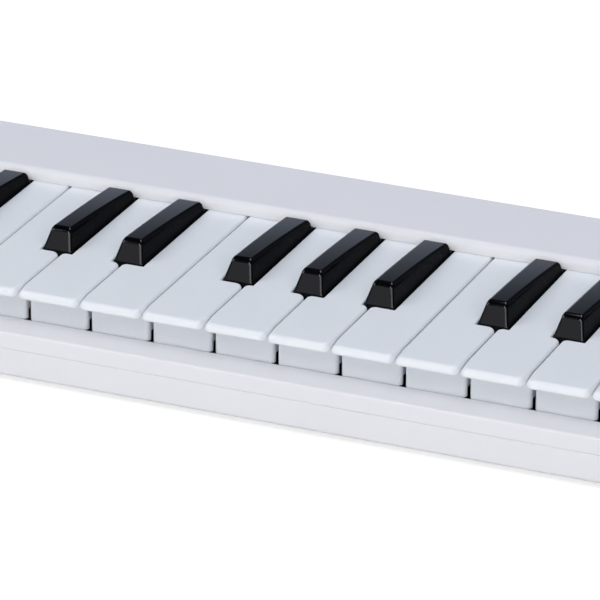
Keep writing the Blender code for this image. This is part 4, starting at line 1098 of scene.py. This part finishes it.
@dataclass
class BlackKeys:
    """The black keys: a tapered wedge with a leaning front, whose top falls towards the panel."""

    bed: Keybed
    half: float = 4.9 * MM
    shift: float = -0.15 * MM
    taper: float = 0.26
    front_y: float = -25.0 * MM
    lean_deg: float = 28.0
    front_rise: float = 6.8 * MM
    rear_rise: float = 3.1 * MM
    rear_y: float = 23.4 * MM
    step_y: float = 26.0 * MM
    crest_radius: float = 2.6 * MM
    crown: float = 0.25 * MM
    crown_steps: int = 12
    rear_radius: float = 1.8 * MM
    corner_rounding: float = 1.0 * MM
    edge_rounding: float = 0.8 * MM
    ceilings: Point = (33.0 * MM, 32.2 * MM)
    front_wall: float = 2.4 * MM
    rear_wall: float = 1.8 * MM
    hook_inset: float = 1.0 * MM

    def outline(self) -> list[Point]:
        """The key from the side.

        Returns:
            The (y, z) points.
        """
        bed, top = self.bed, self.bed.top_z
        fall = (self.front_rise - self.rear_rise) / (self.rear_y - self.front_y)
        lean = math.tan(math.radians(self.lean_deg))
        height = self.front_rise / (1 + fall * lean)
        foot, crest = (self.front_y, top), (self.front_y + height * lean, top + height)
        rear, rear_foot = (self.rear_y, top + self.rear_rise), (self.rear_y, top - 0.1 * MM)
        points = [(self.front_y + bed.wall, bed.skirt_z), (self.front_y, bed.skirt_z), foot]
        points += fillet(foot, crest, rear, self.crest_radius, 10)
        rear_arc = fillet(crest, rear, rear_foot, self.rear_radius, 10)
        start, end = Vector(points[-1]), Vector(rear_arc[0])
        for step in range(1, self.crown_steps):
            share = step / self.crown_steps
            point = start.lerp(end, share)
            points.append((point.x, point.y + 4 * self.crown * share * (1 - share)))
        points += rear_arc + [rear_foot, (self.step_y, rear_foot[1]), (self.step_y, bed.tail_z)]
        return points + bed.underside()

    def radii(self, bm: Shape) -> dict[int, float]:
        """Radii of the wedge's side edges: more on the front corners, less along the top.

        Args:
            bm: The key, its sides already tapered.

        Returns:
            The radius of every edge that is rounded, by the edge's number.
        """
        top = self.bed.top_z
        bm.edges.index_update()
        crest_y = self.front_y + self.front_rise * math.tan(math.radians(self.lean_deg))

        def exposed(a: Vector, b: Vector) -> bool:
            """True for an edge between a side and the front, the top or the rear of the wedge."""
            along = abs(a.x - b.x) < 0.6 * (a - b).length + 1e-9
            return along and (min(a.z, b.z) > top - HAIR or max(a.y, b.y) < self.front_y + HAIR)

        found = {}
        for edge in sharp_edges(bm, exposed, 50.0):
            middle = (edge.verts[0].co + edge.verts[1].co) / 2
            if middle.y < self.rear_y + HAIR:
                share = limited((middle.y - crest_y) / (2 * self.crest_radius) + 0.5)
                found[edge.index] = self.corner_rounding + (self.edge_rounding - self.corner_rounding) * share
        return found

    def shape(self) -> Shape:
        """The whole key about its own middle.

        Returns:
            The key.
        """
        bed, top = self.bed, self.bed.top_z
        bm = prism(self.outline(), -self.half, self.half)
        bmesh.ops.bisect_plane(
            bm, geom=bm.verts[:] + bm.edges[:] + bm.faces[:], plane_co=(0, 0, top), plane_no=(0, 0, 1)
        )
        for vert in bm.verts:
            vert.co.x -= math.copysign(max(vert.co.z - top, 0.0) * self.taper, vert.co.x)
        bm = round_each(bm, self.radii(bm), 5)
        half = self.half - bed.wall
        shapes = [
            bed.pocket(-half, half, self.front_y + self.front_wall, -bed.rib, self.ceilings[0]),
            bed.pocket(-half, half, bed.rib, self.rear_y - self.rear_wall, self.ceilings[1]),
        ]
        shapes += [bed.narrowing(side * self.half, side, self.hook_inset) for side in (-1, 1)]
        return combine(bm, gather(shapes), Cut.REMOVE)

    def build(self, shop: Workshop, finish: Finish, side_finish: Finish) -> None:
        """Makes every black key from one mesh."""
        mesh = stored("black key shape", self.shape())
        for name, x in self.bed.black_places().items():
            shop.key(name, "black", mesh, x + self.shift, finish, side_finish)


@dataclass
class CaseShells:
    """The two halves of the case. Cutters start at cut_z inside it and end at clear_z above it."""

    layout: Layout
    half_length: float = 209.0 * MM
    half_depth: float = 59.7 * MM
    base_z: float = 2.0 * MM
    seam_z: float = 11.6 * MM
    seam_gap: float = 0.06 * MM
    seam_chamfer: float = 0.16 * MM
    wall: float = 2.2 * MM
    end_rounding: float = 1.6 * MM
    base_rounding: float = 1.5 * MM
    nose_radius: float = 5.0 * MM
    back_radius: float = 0.8 * MM
    well_half: float = 199.9 * MM
    ledge_rear: Point = (-50.5 * MM, 18.2 * MM)
    ledge_slope_deg: float = 6.9
    ledge_radius: float = 0.9 * MM
    ledge_rear_radius: float = 0.12 * MM
    ledge_rear_drop: float = 0.135 * MM
    lip_y: float = 24.4 * MM
    lip_radius: float = 3.2 * MM
    lip_bottom_z: float = 31.67 * MM
    lip_rear_y: float = 32.0 * MM
    cheek_wall: float = 1.6 * MM
    cheek_rounding: float = 0.5 * MM
    cheek_low_z: float = 19.5 * MM
    cut_z: float = 5.0 * MM
    clear_z: float = 45.0 * MM
    rail_top_z: float = 15.0 * MM
    tray_clearance: float = 0.3 * MM
    tray_rim: float = 1.0 * MM
    tray_rim_z: float = 13.05 * MM
    controls_x: float = -150.0 * MM
    controls_ys: Point = (30.0 * MM, 57.0 * MM)
    opening_low_z: float = 30.0 * MM
    wheel_opening: Point = (4.3 * MM, 9.6 * MM)
    button_opening: Point = (4.8 * MM, 4.2 * MM)
    socket_opening: tuple[Point, ...] = in_mm(
        (-4.25, 18.4), (4.25, 18.4), (4.25, 15.4), (3.25, 13.7), (-3.25, 13.7), (-4.25, 15.4)
    )
    screws: tuple[Point, ...] = in_mm(
        (-30, 50), (70, 50), (170, 50), (-172, -53), (-60, -53), (60, -53), (172, -53)
    )
    screw_face_z: float = 3.1 * MM
    screw_profile: tuple[Point, ...] = in_mm((0, 0), (0, 1.5), (0.25, 2.05), (0.6, 2.3), (1.2, 2.4), (1.2, 0))
    recess: tuple[float, float, float] = (1.25 * MM, 0.26 * MM, 0.7 * MM)

    def shell(self, outline: list[Point], seam: float) -> Shape:
        """Pulls an outline over the whole length, its end edges rounded except at the seam.

        Args:
            outline: The (y, z) points.
            seam: Height of the seam.

        Returns:
            The solid shell.
        """
        bm = prism(outline, -self.half_length, self.half_length)
        ends = [
            edge for edge in bm.edges
            if abs(edge.verts[0].co.x - edge.verts[1].co.x) < TINY
            and not level(edge.verts[0].co, edge.verts[1].co, seam)
        ]
        round_off(bm, ends, self.end_rounding, 5)
        round_off(bm, sharp_edges(bm, lambda a, b: level(a, b, seam), 60.0), self.seam_chamfer, 1)
        return bm

    def well(self) -> list[Point]:
        """The opening for the keys, over the ledge and under the panel's lip.

        Returns:
            The (y, z) points.
        """
        slope = math.tan(math.radians(self.ledge_slope_deg))
        front_y = -self.half_depth - 2 * MM
        edge_y = -self.half_depth + self.ledge_radius
        (rear_y, rear_z), radius = self.ledge_rear, self.ledge_rear_radius
        edge_z = rear_z - (rear_y - edge_y) * slope - self.ledge_radius
        lip = (self.lip_y + self.lip_radius, self.layout.panel_z - self.lip_radius)
        points = [(front_y, edge_z)]
        turn = 90 + self.ledge_slope_deg
        points += arc((edge_y, edge_z), self.ledge_radius, 180, turn, 7)
        points += arc((rear_y - radius, rear_z - self.ledge_rear_drop), radius, turn, 0, 3)
        points += [(rear_y, self.cut_z), (self.lip_y, self.cut_z)]
        points += arc(lip, self.lip_radius, 180, 90, 14)
        return points + [(lip[0], self.clear_z), (front_y, self.clear_z)]

    def upper(self) -> Shape:
        """The top shell with its openings.

        Returns:
            The shell.
        """
        top, seam = self.layout.panel_z, self.seam_z + self.seam_gap / 2
        depth, nose, back = self.half_depth, self.nose_radius, self.back_radius
        outline = [(-depth, seam)] + arc((-depth + nose, top - nose), nose, 180, 90, 12)
        outline += arc((depth - back, top - back), back, 90, 0, 5) + [(depth, seam)]
        bm = self.shell(outline, seam)
        bm = combine(bm, prism(self.well(), -self.well_half, self.well_half), Cut.REMOVE)

        def cheek_edge(a: Vector, b: Vector) -> bool:
            """True for the inner top edge of an end cheek."""
            on_wall = abs(abs(a.x) - self.well_half) < HAIR and abs(abs(b.x) - self.well_half) < HAIR
            beside = min(a.z, b.z) > self.cheek_low_z and max(a.y, b.y) < self.lip_y + 3 * MM
            return on_wall and beside and a.x * b.x > 0

        round_off(bm, sharp_edges(bm, cheek_edge, 60.0), self.cheek_rounding, 3)
        x, y, ceiling = self.half_length - self.wall, self.half_depth - self.wall, top - self.wall
        low, front = self.cut_z, self.lip_y - 1 * MM
        bay = [(front, low), (y, low), (y, ceiling), (self.lip_rear_y, ceiling)]
        bay += [(self.lip_rear_y, self.lip_bottom_z), (front, self.lip_bottom_z)]
        bm = combine(bm, prism(bay, -x, x), Cut.REMOVE)
        cheek = self.well_half + self.cheek_wall
        hollow_rear_y, rail_rear_y = self.lip_y - 0.4 * MM, self.ledge_rear[0] - 2 * MM
        hollows = [box((left, -y, low), (left + x - cheek, hollow_rear_y, ceiling)) for left in (-x, cheek)]
        bm = combine(bm, gather(hollows), Cut.REMOVE)
        rail = cheek + 0.8 * MM
        space = box((-rail, -y + 0.1 * MM, low - 1 * MM), (rail, rail_rear_y, self.rail_top_z))
        bm = combine(bm, space, Cut.REMOVE)
        bm = combine(bm, gather(self.openings()), Cut.REMOVE)

        def opening_edge(a: Vector, b: Vector) -> bool:
            """True for an edge round a control, on the panel's face."""
            front_y, rear_y = self.controls_ys
            inside = max(a.x, b.x) < self.controls_x and min(a.y, b.y) > front_y and max(a.y, b.y) < rear_y
            return inside and level(a, b, top)

        round_off(bm, sharp_edges(bm, opening_edge, 60.0), 0.3 * MM, 3)
        return bm

    def openings(self) -> list[Shape]:
        """Cutters for the wheels, the buttons, the light and the rear socket.

        Returns:
            The cutters.
        """
        at, low, high = self.layout, self.opening_low_z, self.clear_z
        shapes = [
            block(x, at.wheel_y, self.wheel_opening, low, high, radius=0.8 * MM, segments=4)
            for _, x in at.wheels
        ]
        shapes += [
            block(at.button_x, y, self.button_opening, low, high, radius=1.0 * MM, segments=5)
            for _, y in at.buttons
        ]
        shapes.append(drum((*at.light, 36 * MM), radius=1.5 * MM, length=10 * MM, segments=24))
        socket = [(at.socket_x + x, z) for x, z in self.socket_opening]
        shapes.append(prism(socket, self.half_depth - 6 * MM, self.half_depth + 4 * MM, Axis.Y))
        return shapes

    def lower(self) -> Shape:
        """The tray, with counterbores for its screws and shallow seats for the feet.

        Returns:
            The tray.
        """
        seam = self.seam_z - self.seam_gap / 2
        radius = self.base_rounding
        front, rear, low = -self.half_depth + radius, self.half_depth - radius, self.base_z + radius
        outline = [(self.half_depth, seam), (-self.half_depth, seam)]
        outline += arc((front, low), radius, 180, 270, 6) + arc((rear, low), radius, 270, 360, 6)
        bm = self.shell(outline, seam)
        inset = self.wall + self.tray_clearance
        x, y = self.half_length - inset, self.half_depth - inset
        bm = combine(bm, box((-x, -y, 3 * MM), (x, y, self.tray_rim_z)), Cut.JOIN)
        x, y, floor = x - self.tray_rim, y - self.tray_rim, self.base_z + self.wall
        bm = combine(bm, box((-x, -y, floor), (x, y, 30 * MM)), Cut.REMOVE)
        posts = drums(self.screws, z=7 * MM, radius=4.2 * MM, length=7 * MM, segments=24)
        bm = combine(bm, posts, Cut.JOIN)
        seats = drums(self.layout.feet().values(), z=1.5 * MM, radius=6.3 * MM, length=2 * MM, segments=40)
        bm = combine(bm, seats, Cut.REMOVE)
        sinks = drums(self.screws, z=2.2 * MM, radius=2.9 * MM, length=4.4 * MM, segments=32)
        bm = combine(bm, sinks, Cut.REMOVE)

        def rim(a: Vector, b: Vector) -> bool:
            """True for an edge of a seat or a counterbore."""
            return level(a, b, self.base_z) and max(abs(a.x), abs(b.x)) < self.half_length - 6 * MM

        round_off(bm, sharp_edges(bm, rim, 60.0), 0.25 * MM, 2)
        return bm

    def screw(self, x: float, y: float) -> Shape:
        """A pan head with a cross recess, facing down in its counterbore.

        Args:
            x: Its place in X.
            y: Its place in Y.

        Returns:
            The screw's head.
        """
        face, (arm, width, depth) = self.screw_face_z, self.recess
        head = turned(self.screw_profile, (x, y, face), 28, Axis.Z)
        for half in ((arm, width), (width, arm)):
            head = combine(head, block(x, y, half, face - 1 * MM, face + depth), Cut.REMOVE)
        return head

    def build(self, shop: Workshop, palette: Palette) -> None:
        """Makes both shells, and the screws in the tray.

        Args:
            shop: Makes the pieces.
            palette: Holds their finishes.
        """
        shop.piece("case_top_shell", self.upper(), "base", palette.case, "case_white", ("upper_case",))
        shop.piece("case_tray", self.lower(), "base", palette.case, "case_white", ("lower_case",))
        for number, (x, y) in enumerate(self.screws, 1):
            shop.piece(f"case_screw_{number}", self.screw(x, y), "base", palette.screw, "steel")


@dataclass
class ThumbWheels:
    """The pitch and modulation wheels, with a fluted rim and a finger scoop.

    The profiles of the shafts and the web are (distance from the wheel's side, radius) points.
    """

    layout: Layout
    centre_z: float = 29.0 * MM
    radius: float = 10.0 * MM
    half_width: float = 3.8 * MM
    rim: float = 0.9 * MM
    flutes: int = 56
    flute_depth: float = 0.35 * MM
    flute_edge: float = 0.12 * MM
    scoops_deg: tuple[float, float] = (90.0, 125.0)
    scoop_radius: float = 2.4 * MM
    scoop_lift: float = 1.2 * MM
    long_shaft: tuple[Point, ...] = in_mm((4.6, 0), (4.6, 1.0), (2.3, 1.0), (2.3, 1.9), (0, 1.9))
    short_shaft: tuple[Point, ...] = in_mm((1.5, 0), (1.5, 1.9), (0, 1.9))
    web: tuple[Point, ...] = in_mm((0, 5.0), (-0.35, 5.4), (-0.35, 7.6), (0, 8.0))

    def shape(self, x: float, outer_side: int, scoop_deg: float) -> Shape:
        """One wheel.

        Args:
            x: Its middle.
            outer_side: -1 or 1, the side of its long shaft.
            scoop_deg: Where the scoop is at rest, from +Y towards +Z.

        Returns:
            The wheel in the row's frame.
        """
        half, rim, tread = self.half_width, self.rim, self.radius - self.rim
        profile = [(-half - out, radius) for out, radius in self.long_shaft + self.web] + [(-half, tread)]
        profile += arc((-half + rim, tread), rim, 180, 90, 5)[1:]
        profile += arc((half - rim, tread), rim, 90, 0, 5)
        profile += [(half + out, radius) for out, radius in reversed(self.short_shaft + self.web)]
        y, z = self.layout.wheel_y, self.centre_z
        profile = [(-outer_side * along, radius) for along, radius in profile]
        bm = turned(profile, (x, y, z), self.flutes * 2, Axis.X)
        self.flute(bm, Vector((x, y, z)))
        angle, reach = math.radians(scoop_deg), self.radius + self.scoop_lift
        place = (x, y + reach * math.cos(angle), z + reach * math.sin(angle))
        scoop = drum(place, self.scoop_radius, length=12 * MM, segments=40, axis=Axis.X)
        return combine(bm, scoop, Cut.REMOVE)

    def flute(self, bm: Shape, centre: Vector) -> None:
        """Sinks every second strip of the rim to make the flutes.

        Args:
            bm: The wheel.
            centre: Its middle.
        """
        band = []
        for face in bm.faces:
            middle = face.calc_center_median() - centre
            on_tread = math.hypot(middle.y, middle.z) > self.radius - 0.2 * MM
            if on_tread and abs(middle.x) < self.half_width - 1.0 * MM:
                turn = (math.atan2(middle.z, middle.y) % (2 * math.pi)) / (2 * math.pi)
                if int(turn * self.flutes * 2) % 2 == 0:
                    band.append((face, Vector((0, middle.y, middle.z)).normalized()))
        faces = [face for face, _ in band]
        bmesh.ops.inset_individual(bm, faces=faces, thickness=self.flute_edge, depth=0.0)
        for face, outward in band:
            bmesh.ops.translate(bm, vec=-outward * self.flute_depth, verts=face.verts)

    def build(self, shop: Workshop, palette: Palette) -> None:
        """Makes both wheels."""
        for (node, x), side, scoop in zip(self.layout.wheels, (-1, 1), self.scoops_deg):
            wheel = self.shape(x, side, scoop)
            shop.piece(f"{node}_fluted", wheel, node, palette.control, "control_grey", (node,))


@dataclass
class SmallParts:
    """The octave buttons, the light and the feet. Halves are half a width and half a depth."""

    layout: Layout
    cap_half: Point = (4.5 * MM, 3.9 * MM)
    cap_rise: float = 1.2 * MM
    dish_radius: float = 40.0 * MM
    dish_lift: float = 39.72 * MM
    flange_half: Point = (5.6 * MM, 5.0 * MM)
    stem_half: Point = (1.5 * MM, 1.5 * MM)
    lens_low_z: float = 32.25 * MM
    lens_radius: float = 1.2 * MM
    lens_rise: float = 0.3 * MM
    foot_profile: tuple[Point, ...] = in_mm(
        (2.2, 0), (2.2, 6.0), (0.6, 6.0), (0.25, 5.85), (0.06, 5.6), (0, 5.3), (0, 4.1), (0.35, 3.9),
        (0.35, 3.1), (0, 2.9), (0, 0),
    )

    def button(self, y: float) -> Shape:
        """A cap with a dished top, over its flange and stem.

        Args:
            y: Its middle.

        Returns:
            The button.
        """
        x, top = self.layout.button_x, self.layout.panel_z + self.cap_rise
        cap = block(x, y, self.cap_half, 32 * MM, top, radius=0.9 * MM, segments=5)
        round_off(cap, sharp_edges(cap, lambda a, b: min(a.z, b.z) > top - TINY), 0.5 * MM, 4)
        dish = bmesh.new()
        bmesh.ops.create_uvsphere(
            dish, u_segments=48, v_segments=32, radius=self.dish_radius,
            matrix=Matrix.Translation((x, y, top + self.dish_lift)),
        )
        cap = combine(cap, dish, Cut.REMOVE)
        cap = combine(cap, block(x, y, self.flange_half, 31.7 * MM, 32.9 * MM), Cut.JOIN)
        return combine(cap, block(x, y, self.stem_half, 29.6 * MM, 32.1 * MM), Cut.JOIN)

    def lens(self) -> Shape:
        """A small domed lens.

        Returns:
            The lens.
        """
        profile = [(self.lens_low_z, 0.0), (self.lens_low_z, self.lens_radius)]
        for across, up in arc((0.0, 0.0), 1.0, 0, 90, 8):
            profile.append((self.layout.panel_z + self.lens_rise * up, self.lens_radius * across))
        return turned(profile, (*self.layout.light, 0.0), 32, Axis.Z)

    def build(self, shop: Workshop, palette: Palette) -> None:
        """Makes the buttons, the lens, and the feet with a shallow ring in their treads.

        Args:
            shop: Makes the pieces.
            palette: Holds their finishes.
        """
        for node, y in self.layout.buttons:
            shop.piece(f"{node}_cap", self.button(y), node, palette.control, "control_grey", (node,))
        shop.piece("power_light_lens", self.lens(), "base", palette.lens, "lens", ("power_light",))
        for node, place in self.layout.feet().items():
            foot = turned(self.foot_profile, (*place, 0.0), 48, Axis.Z)
            shop.piece(f"{node}_tread", foot, "base", palette.rubber, "rubber", (node,))


@dataclass
class InnerParts:
    """The CAD nodes inside the case, which keep their shapes, and the socket's contacts."""

    layout: Layout
    contacts: int = 5
    contact_pitch: float = 0.8 * MM
    contact_half: float = 0.2 * MM
    contact_ys: Point = (52.5 * MM, 57.2 * MM)
    contact_zs: Point = (16.9 * MM, 17.02 * MM)

    def build(self, shop: Workshop, palette: Palette) -> None:
        """Dresses the inner nodes and adds the contacts.

        Args:
            shop: Makes and dresses the pieces.
            palette: Holds their finishes.
        """
        finishes = {
            palette.inner: ("key_bed", "wheel_bracket", "pitch_sensor", "mod_sensor"),
            palette.steel: ("hinge_rod", "usb_socket", "pitch_spring"),
            palette.board: ("contact_board", "main_board", "button_board"),
            palette.silicone: ("contact_strip_low", "contact_strip_mid", "contact_strip_high"),
            palette.felt: ("down_stop_felt", "up_stop_felt"),
            palette.ribbon: ("ribbon_cable",),
        }
        for finish, nodes in finishes.items():
            for node in nodes:
                shop.dress(node, finish)
        (front, rear), (low, high), half = self.contact_ys, self.contact_zs, self.contact_half
        places = range(-(self.contacts // 2), self.contacts // 2 + 1)
        middles = [self.layout.socket_x + place * self.contact_pitch for place in places]
        strips = gather(box((x - half, front, low), (x + half, rear, high)) for x in middles)
        upper = [e for e in strips.edges if min(v.co.z for v in e.verts) > high - 0.02 * MM]
        round_off(strips, upper, 0.04 * MM, 2)
        shop.piece("usb_contacts", strips, "base", palette.steel, "steel")


def direction(azimuth_deg: float, elevation_deg: float) -> Vector:
    """Unit vector to a place at degrees to the right of the front, and above the horizon."""
    a, e = math.radians(azimuth_deg), math.radians(elevation_deg)
    return Vector((math.sin(a) * math.cos(e), -math.cos(a) * math.cos(e), math.sin(e)))


@dataclass(frozen=True)
class Lamp:
    """A soft rectangular lamp that faces the object.

    Attributes:
        name: The lamp's name.
        azimuth_deg: Degrees to the right of the front.
        elevation_deg: Degrees above the horizon.
        size: Width and height.
        power: Watts.
        colour: Linear colour.
        distance: Distance from the object.
    """

    name: str
    azimuth_deg: float
    elevation_deg: float
    size: Point
    power: float
    colour: Colour = WHITE
    distance: float = 1.8

    def place(self) -> None:
        """Adds the lamp to the scene."""
        back = direction(self.azimuth_deg, self.elevation_deg)
        data = bpy.data.lights.new(self.name, "AREA")
        data.shape = "RECTANGLE"
        data.size, data.size_y = self.size
        data.energy = self.power
        data.color = self.colour
        lamp = bpy.data.objects.new(self.name, data)
        lamp.location = back * self.distance
        lamp.rotation_euler = back.to_track_quat("Z", "Y").to_euler()
        bpy.context.scene.collection.objects.link(lamp)


@dataclass(frozen=True)
class Studio:
    """Floor, lights and camera.

    Attributes:
        azimuth_deg: Camera's turn to the right of the object's front.
        elevation_deg: Its height above the horizon.
        roll_deg: Its small turn about its own axis.
        focal_mm: Focal length on a sensor of sensor_mm.
        sensor_mm: Width of the sensor.
        distance: From the aim point's plane.
        aim: Point that the offsets count from.
        offsets: Shift of the camera to its right and up.
        floor_tone: Grey of the floor where it lights the object.
        floor_shown: Grey and glow of the floor where it is seen.
        sky: Heights and levels of the sky that is seen, white near the horizon.
        sky_tint: Colour of its darker part.
        fill: Colour of the soft light from all round.
        fill_strength: Its strength.
        lamps: The lamps.
    """

    azimuth_deg: float = 22.8711
    elevation_deg: float = 23.5480
    roll_deg: float = 0.27696
    focal_mm: float = 313.540
    sensor_mm: float = 36.0
    distance: float = 77.36186 * KEY_PITCH
    aim: tuple[float, float, float] = (-0.1155, -0.0588, 0.0316)
    offsets: tuple[float, float] = (5.10386 * KEY_PITCH, -0.304159 * KEY_PITCH)
    floor_tone: float = 0.80
    floor_shown: tuple[float, float] = (0.42, 0.72)
    sky: tuple[Point, ...] = (
        (0.0, 1.0), (0.06, 1.0), (0.16, 0.62), (0.21, 0.45), (0.264, 0.25), (0.31, 0.14), (0.40, 0.05),
        (0.60, 0.01),
    )
    sky_tint: Colour = (0.86, 0.97, 1.2)
    fill: Colour = (0.90, 0.95, 1.0)
    fill_strength: float = 0.05
    lamps: tuple[Lamp, ...] = (
        Lamp("right_softbox", 48.0, 30.0, (1.0, 0.9), 7.8),
        Lamp("front_softbox", 0.0, 50.0, (0.8, 0.8), 9.6),
        Lamp("left_softbox", -65.0, 42.0, (0.8, 0.8), 9.5),
        Lamp("rear_softbox", 170.0, 64.0, (1.2, 1.0), 12.4, (0.88, 0.95, 1.10)),
        Lamp("low_panel", 0.0, 7.0, (1.4, 0.4), 5.6),
        Lamp("dim_card", -24.0, 28.0, (1.0, 0.8), 1.35, (0.97, 0.97, 1.06)),
    )

    def camera(self) -> None:
        """Places the camera at the photograph's angle."""
        a, r = math.radians(self.azimuth_deg), math.radians(self.roll_deg)
        right, back = Vector((math.cos(a), math.sin(a), 0)), direction(self.azimuth_deg, self.elevation_deg)
        up = back.cross(right)
        right_turned = math.cos(r) * right + math.sin(r) * up
        up_turned = math.cos(r) * up - math.sin(r) * right
        eye = Vector(self.aim) + self.distance * back
        eye += self.offsets[0] * right_turned + self.offsets[1] * up_turned
        data = bpy.data.cameras.new("photo camera")
        data.lens, data.sensor_width = self.focal_mm, self.sensor_mm
        data.clip_start, data.clip_end = 0.05, 50.0
        camera = bpy.data.objects.new("photo_camera", data)
        camera.matrix_world = Matrix((right_turned, up_turned, back)).transposed().to_4x4()
        camera.location = eye
        bpy.context.scene.collection.objects.link(camera)
        bpy.context.scene.camera = camera

    def floor(self) -> None:
        """Adds a wide pale floor that shows white and keeps a light shadow."""
        bm = bmesh.new()
        bmesh.ops.create_grid(bm, x_segments=8, y_segments=8, size=6.0)
        floor = as_object("studio_floor", bm)
        paper = bpy.data.materials.new("studio paper")
        paper.use_nodes = True
        tree = paper.node_tree
        tree.nodes.remove(tree.nodes["Principled BSDF"])
        tone, strength = self.floor_shown
        plain = add_node(tree, "BsdfDiffuse", {"Color": (*[self.floor_tone] * 3, 1.0)})
        shown = add_node(tree, "BsdfDiffuse", {"Color": (tone, tone, tone, 1.0)})
        glow = add_node(tree, "Emission", {"Strength": strength})
        both = add_node(tree, "AddShader")
        wire(tree, (shown, 0, both, 0), (glow, 0, both, 1))
        self.choose(tree, plain, both, tree.nodes["Material Output"])
        floor.data.materials.append(paper)

    @staticmethod
    def choose(
        tree: bpy.types.NodeTree, plain: bpy.types.Node, shown: bpy.types.Node, out: bpy.types.Node
    ) -> None:
        """Sends one shader to the rays that show the background, and another to the rest.

        Args:
            tree: The tree of the four nodes.
            plain: The shader for rays that only bring light.
            shown: The shader for camera, glossy and transmission rays.
            out: The output.
        """
        path = add_node(tree, "LightPath")
        last, socket = path, "Is Camera Ray"
        for name in ("Is Glossy Ray", "Is Transmission Ray"):
            total = add_node(tree, "Math", operation="ADD", use_clamp=True)
            wire(tree, (last, socket, total, 0), (path, name, total, 1))
            last, socket = total, 0
        mix = add_node(tree, "MixShader")
        wire(
            tree, (last, socket, mix, "Fac"), (plain, 0, mix, 1), (shown, 0, mix, 2),
            (mix, 0, out, "Surface"),
        )

    def world(self) -> None:
        """Lights the scene softly, and shows a white horizon that falls to grey overhead."""
        world = bpy.data.worlds.new("studio")
        bpy.context.scene.world = world
        world.use_nodes = True
        tree = world.node_tree
        tree.nodes.clear()
        place, axes = add_node(tree, "TexCoord"), add_node(tree, "SeparateXYZ")
        ramp = add_node(tree, "ValToRGB")
        stops = ramp.color_ramp.elements
        while len(stops) < len(self.sky):
            stops.new(0.5)
        for stop, (height, brightness) in zip(stops, self.sky):
            stop.position = height
            tint = WHITE if brightness > 0.9 else self.sky_tint
            stop.color = (*(brightness * part for part in tint), 1.0)
        shown = add_node(tree, "Background")
        fill = add_node(tree, "Background", {"Color": (*self.fill, 1.0), "Strength": self.fill_strength})
        wire(
            tree, (place, "Generated", axes, 0), (axes, "Z", ramp, "Fac"), (ramp, "Color", shown, "Color")
        )
        self.choose(tree, fill, shown, add_node(tree, "OutputWorld"))

    def build(self) -> None:
        """Sets up the whole studio."""
        self.camera()
        self.floor()
        self.world()
        for lamp in self.lamps:
            lamp.place()
        bpy.context.scene.view_settings.view_transform = "Standard"


def main() -> None:
    """Builds the keyboard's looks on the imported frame, and the studio round it."""
    logging.basicConfig(level=logging.INFO, format="%(name)s: %(message)s")
    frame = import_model()
    shop, palette, layout, bed = Workshop(frame), Palette(), Layout(), Keybed()
    Studio().build()
    CaseShells(layout).build(shop, palette)
    WhiteKeys(bed).build(shop, palette.white_key)
    BlackKeys(bed).build(shop, palette.black_key, palette.black_side)
    ThumbWheels(layout).build(shop, palette)
    SmallParts(layout).build(shop, palette)
    InnerParts(layout).build(shop, palette)


if __name__ == "__main__":
    main()
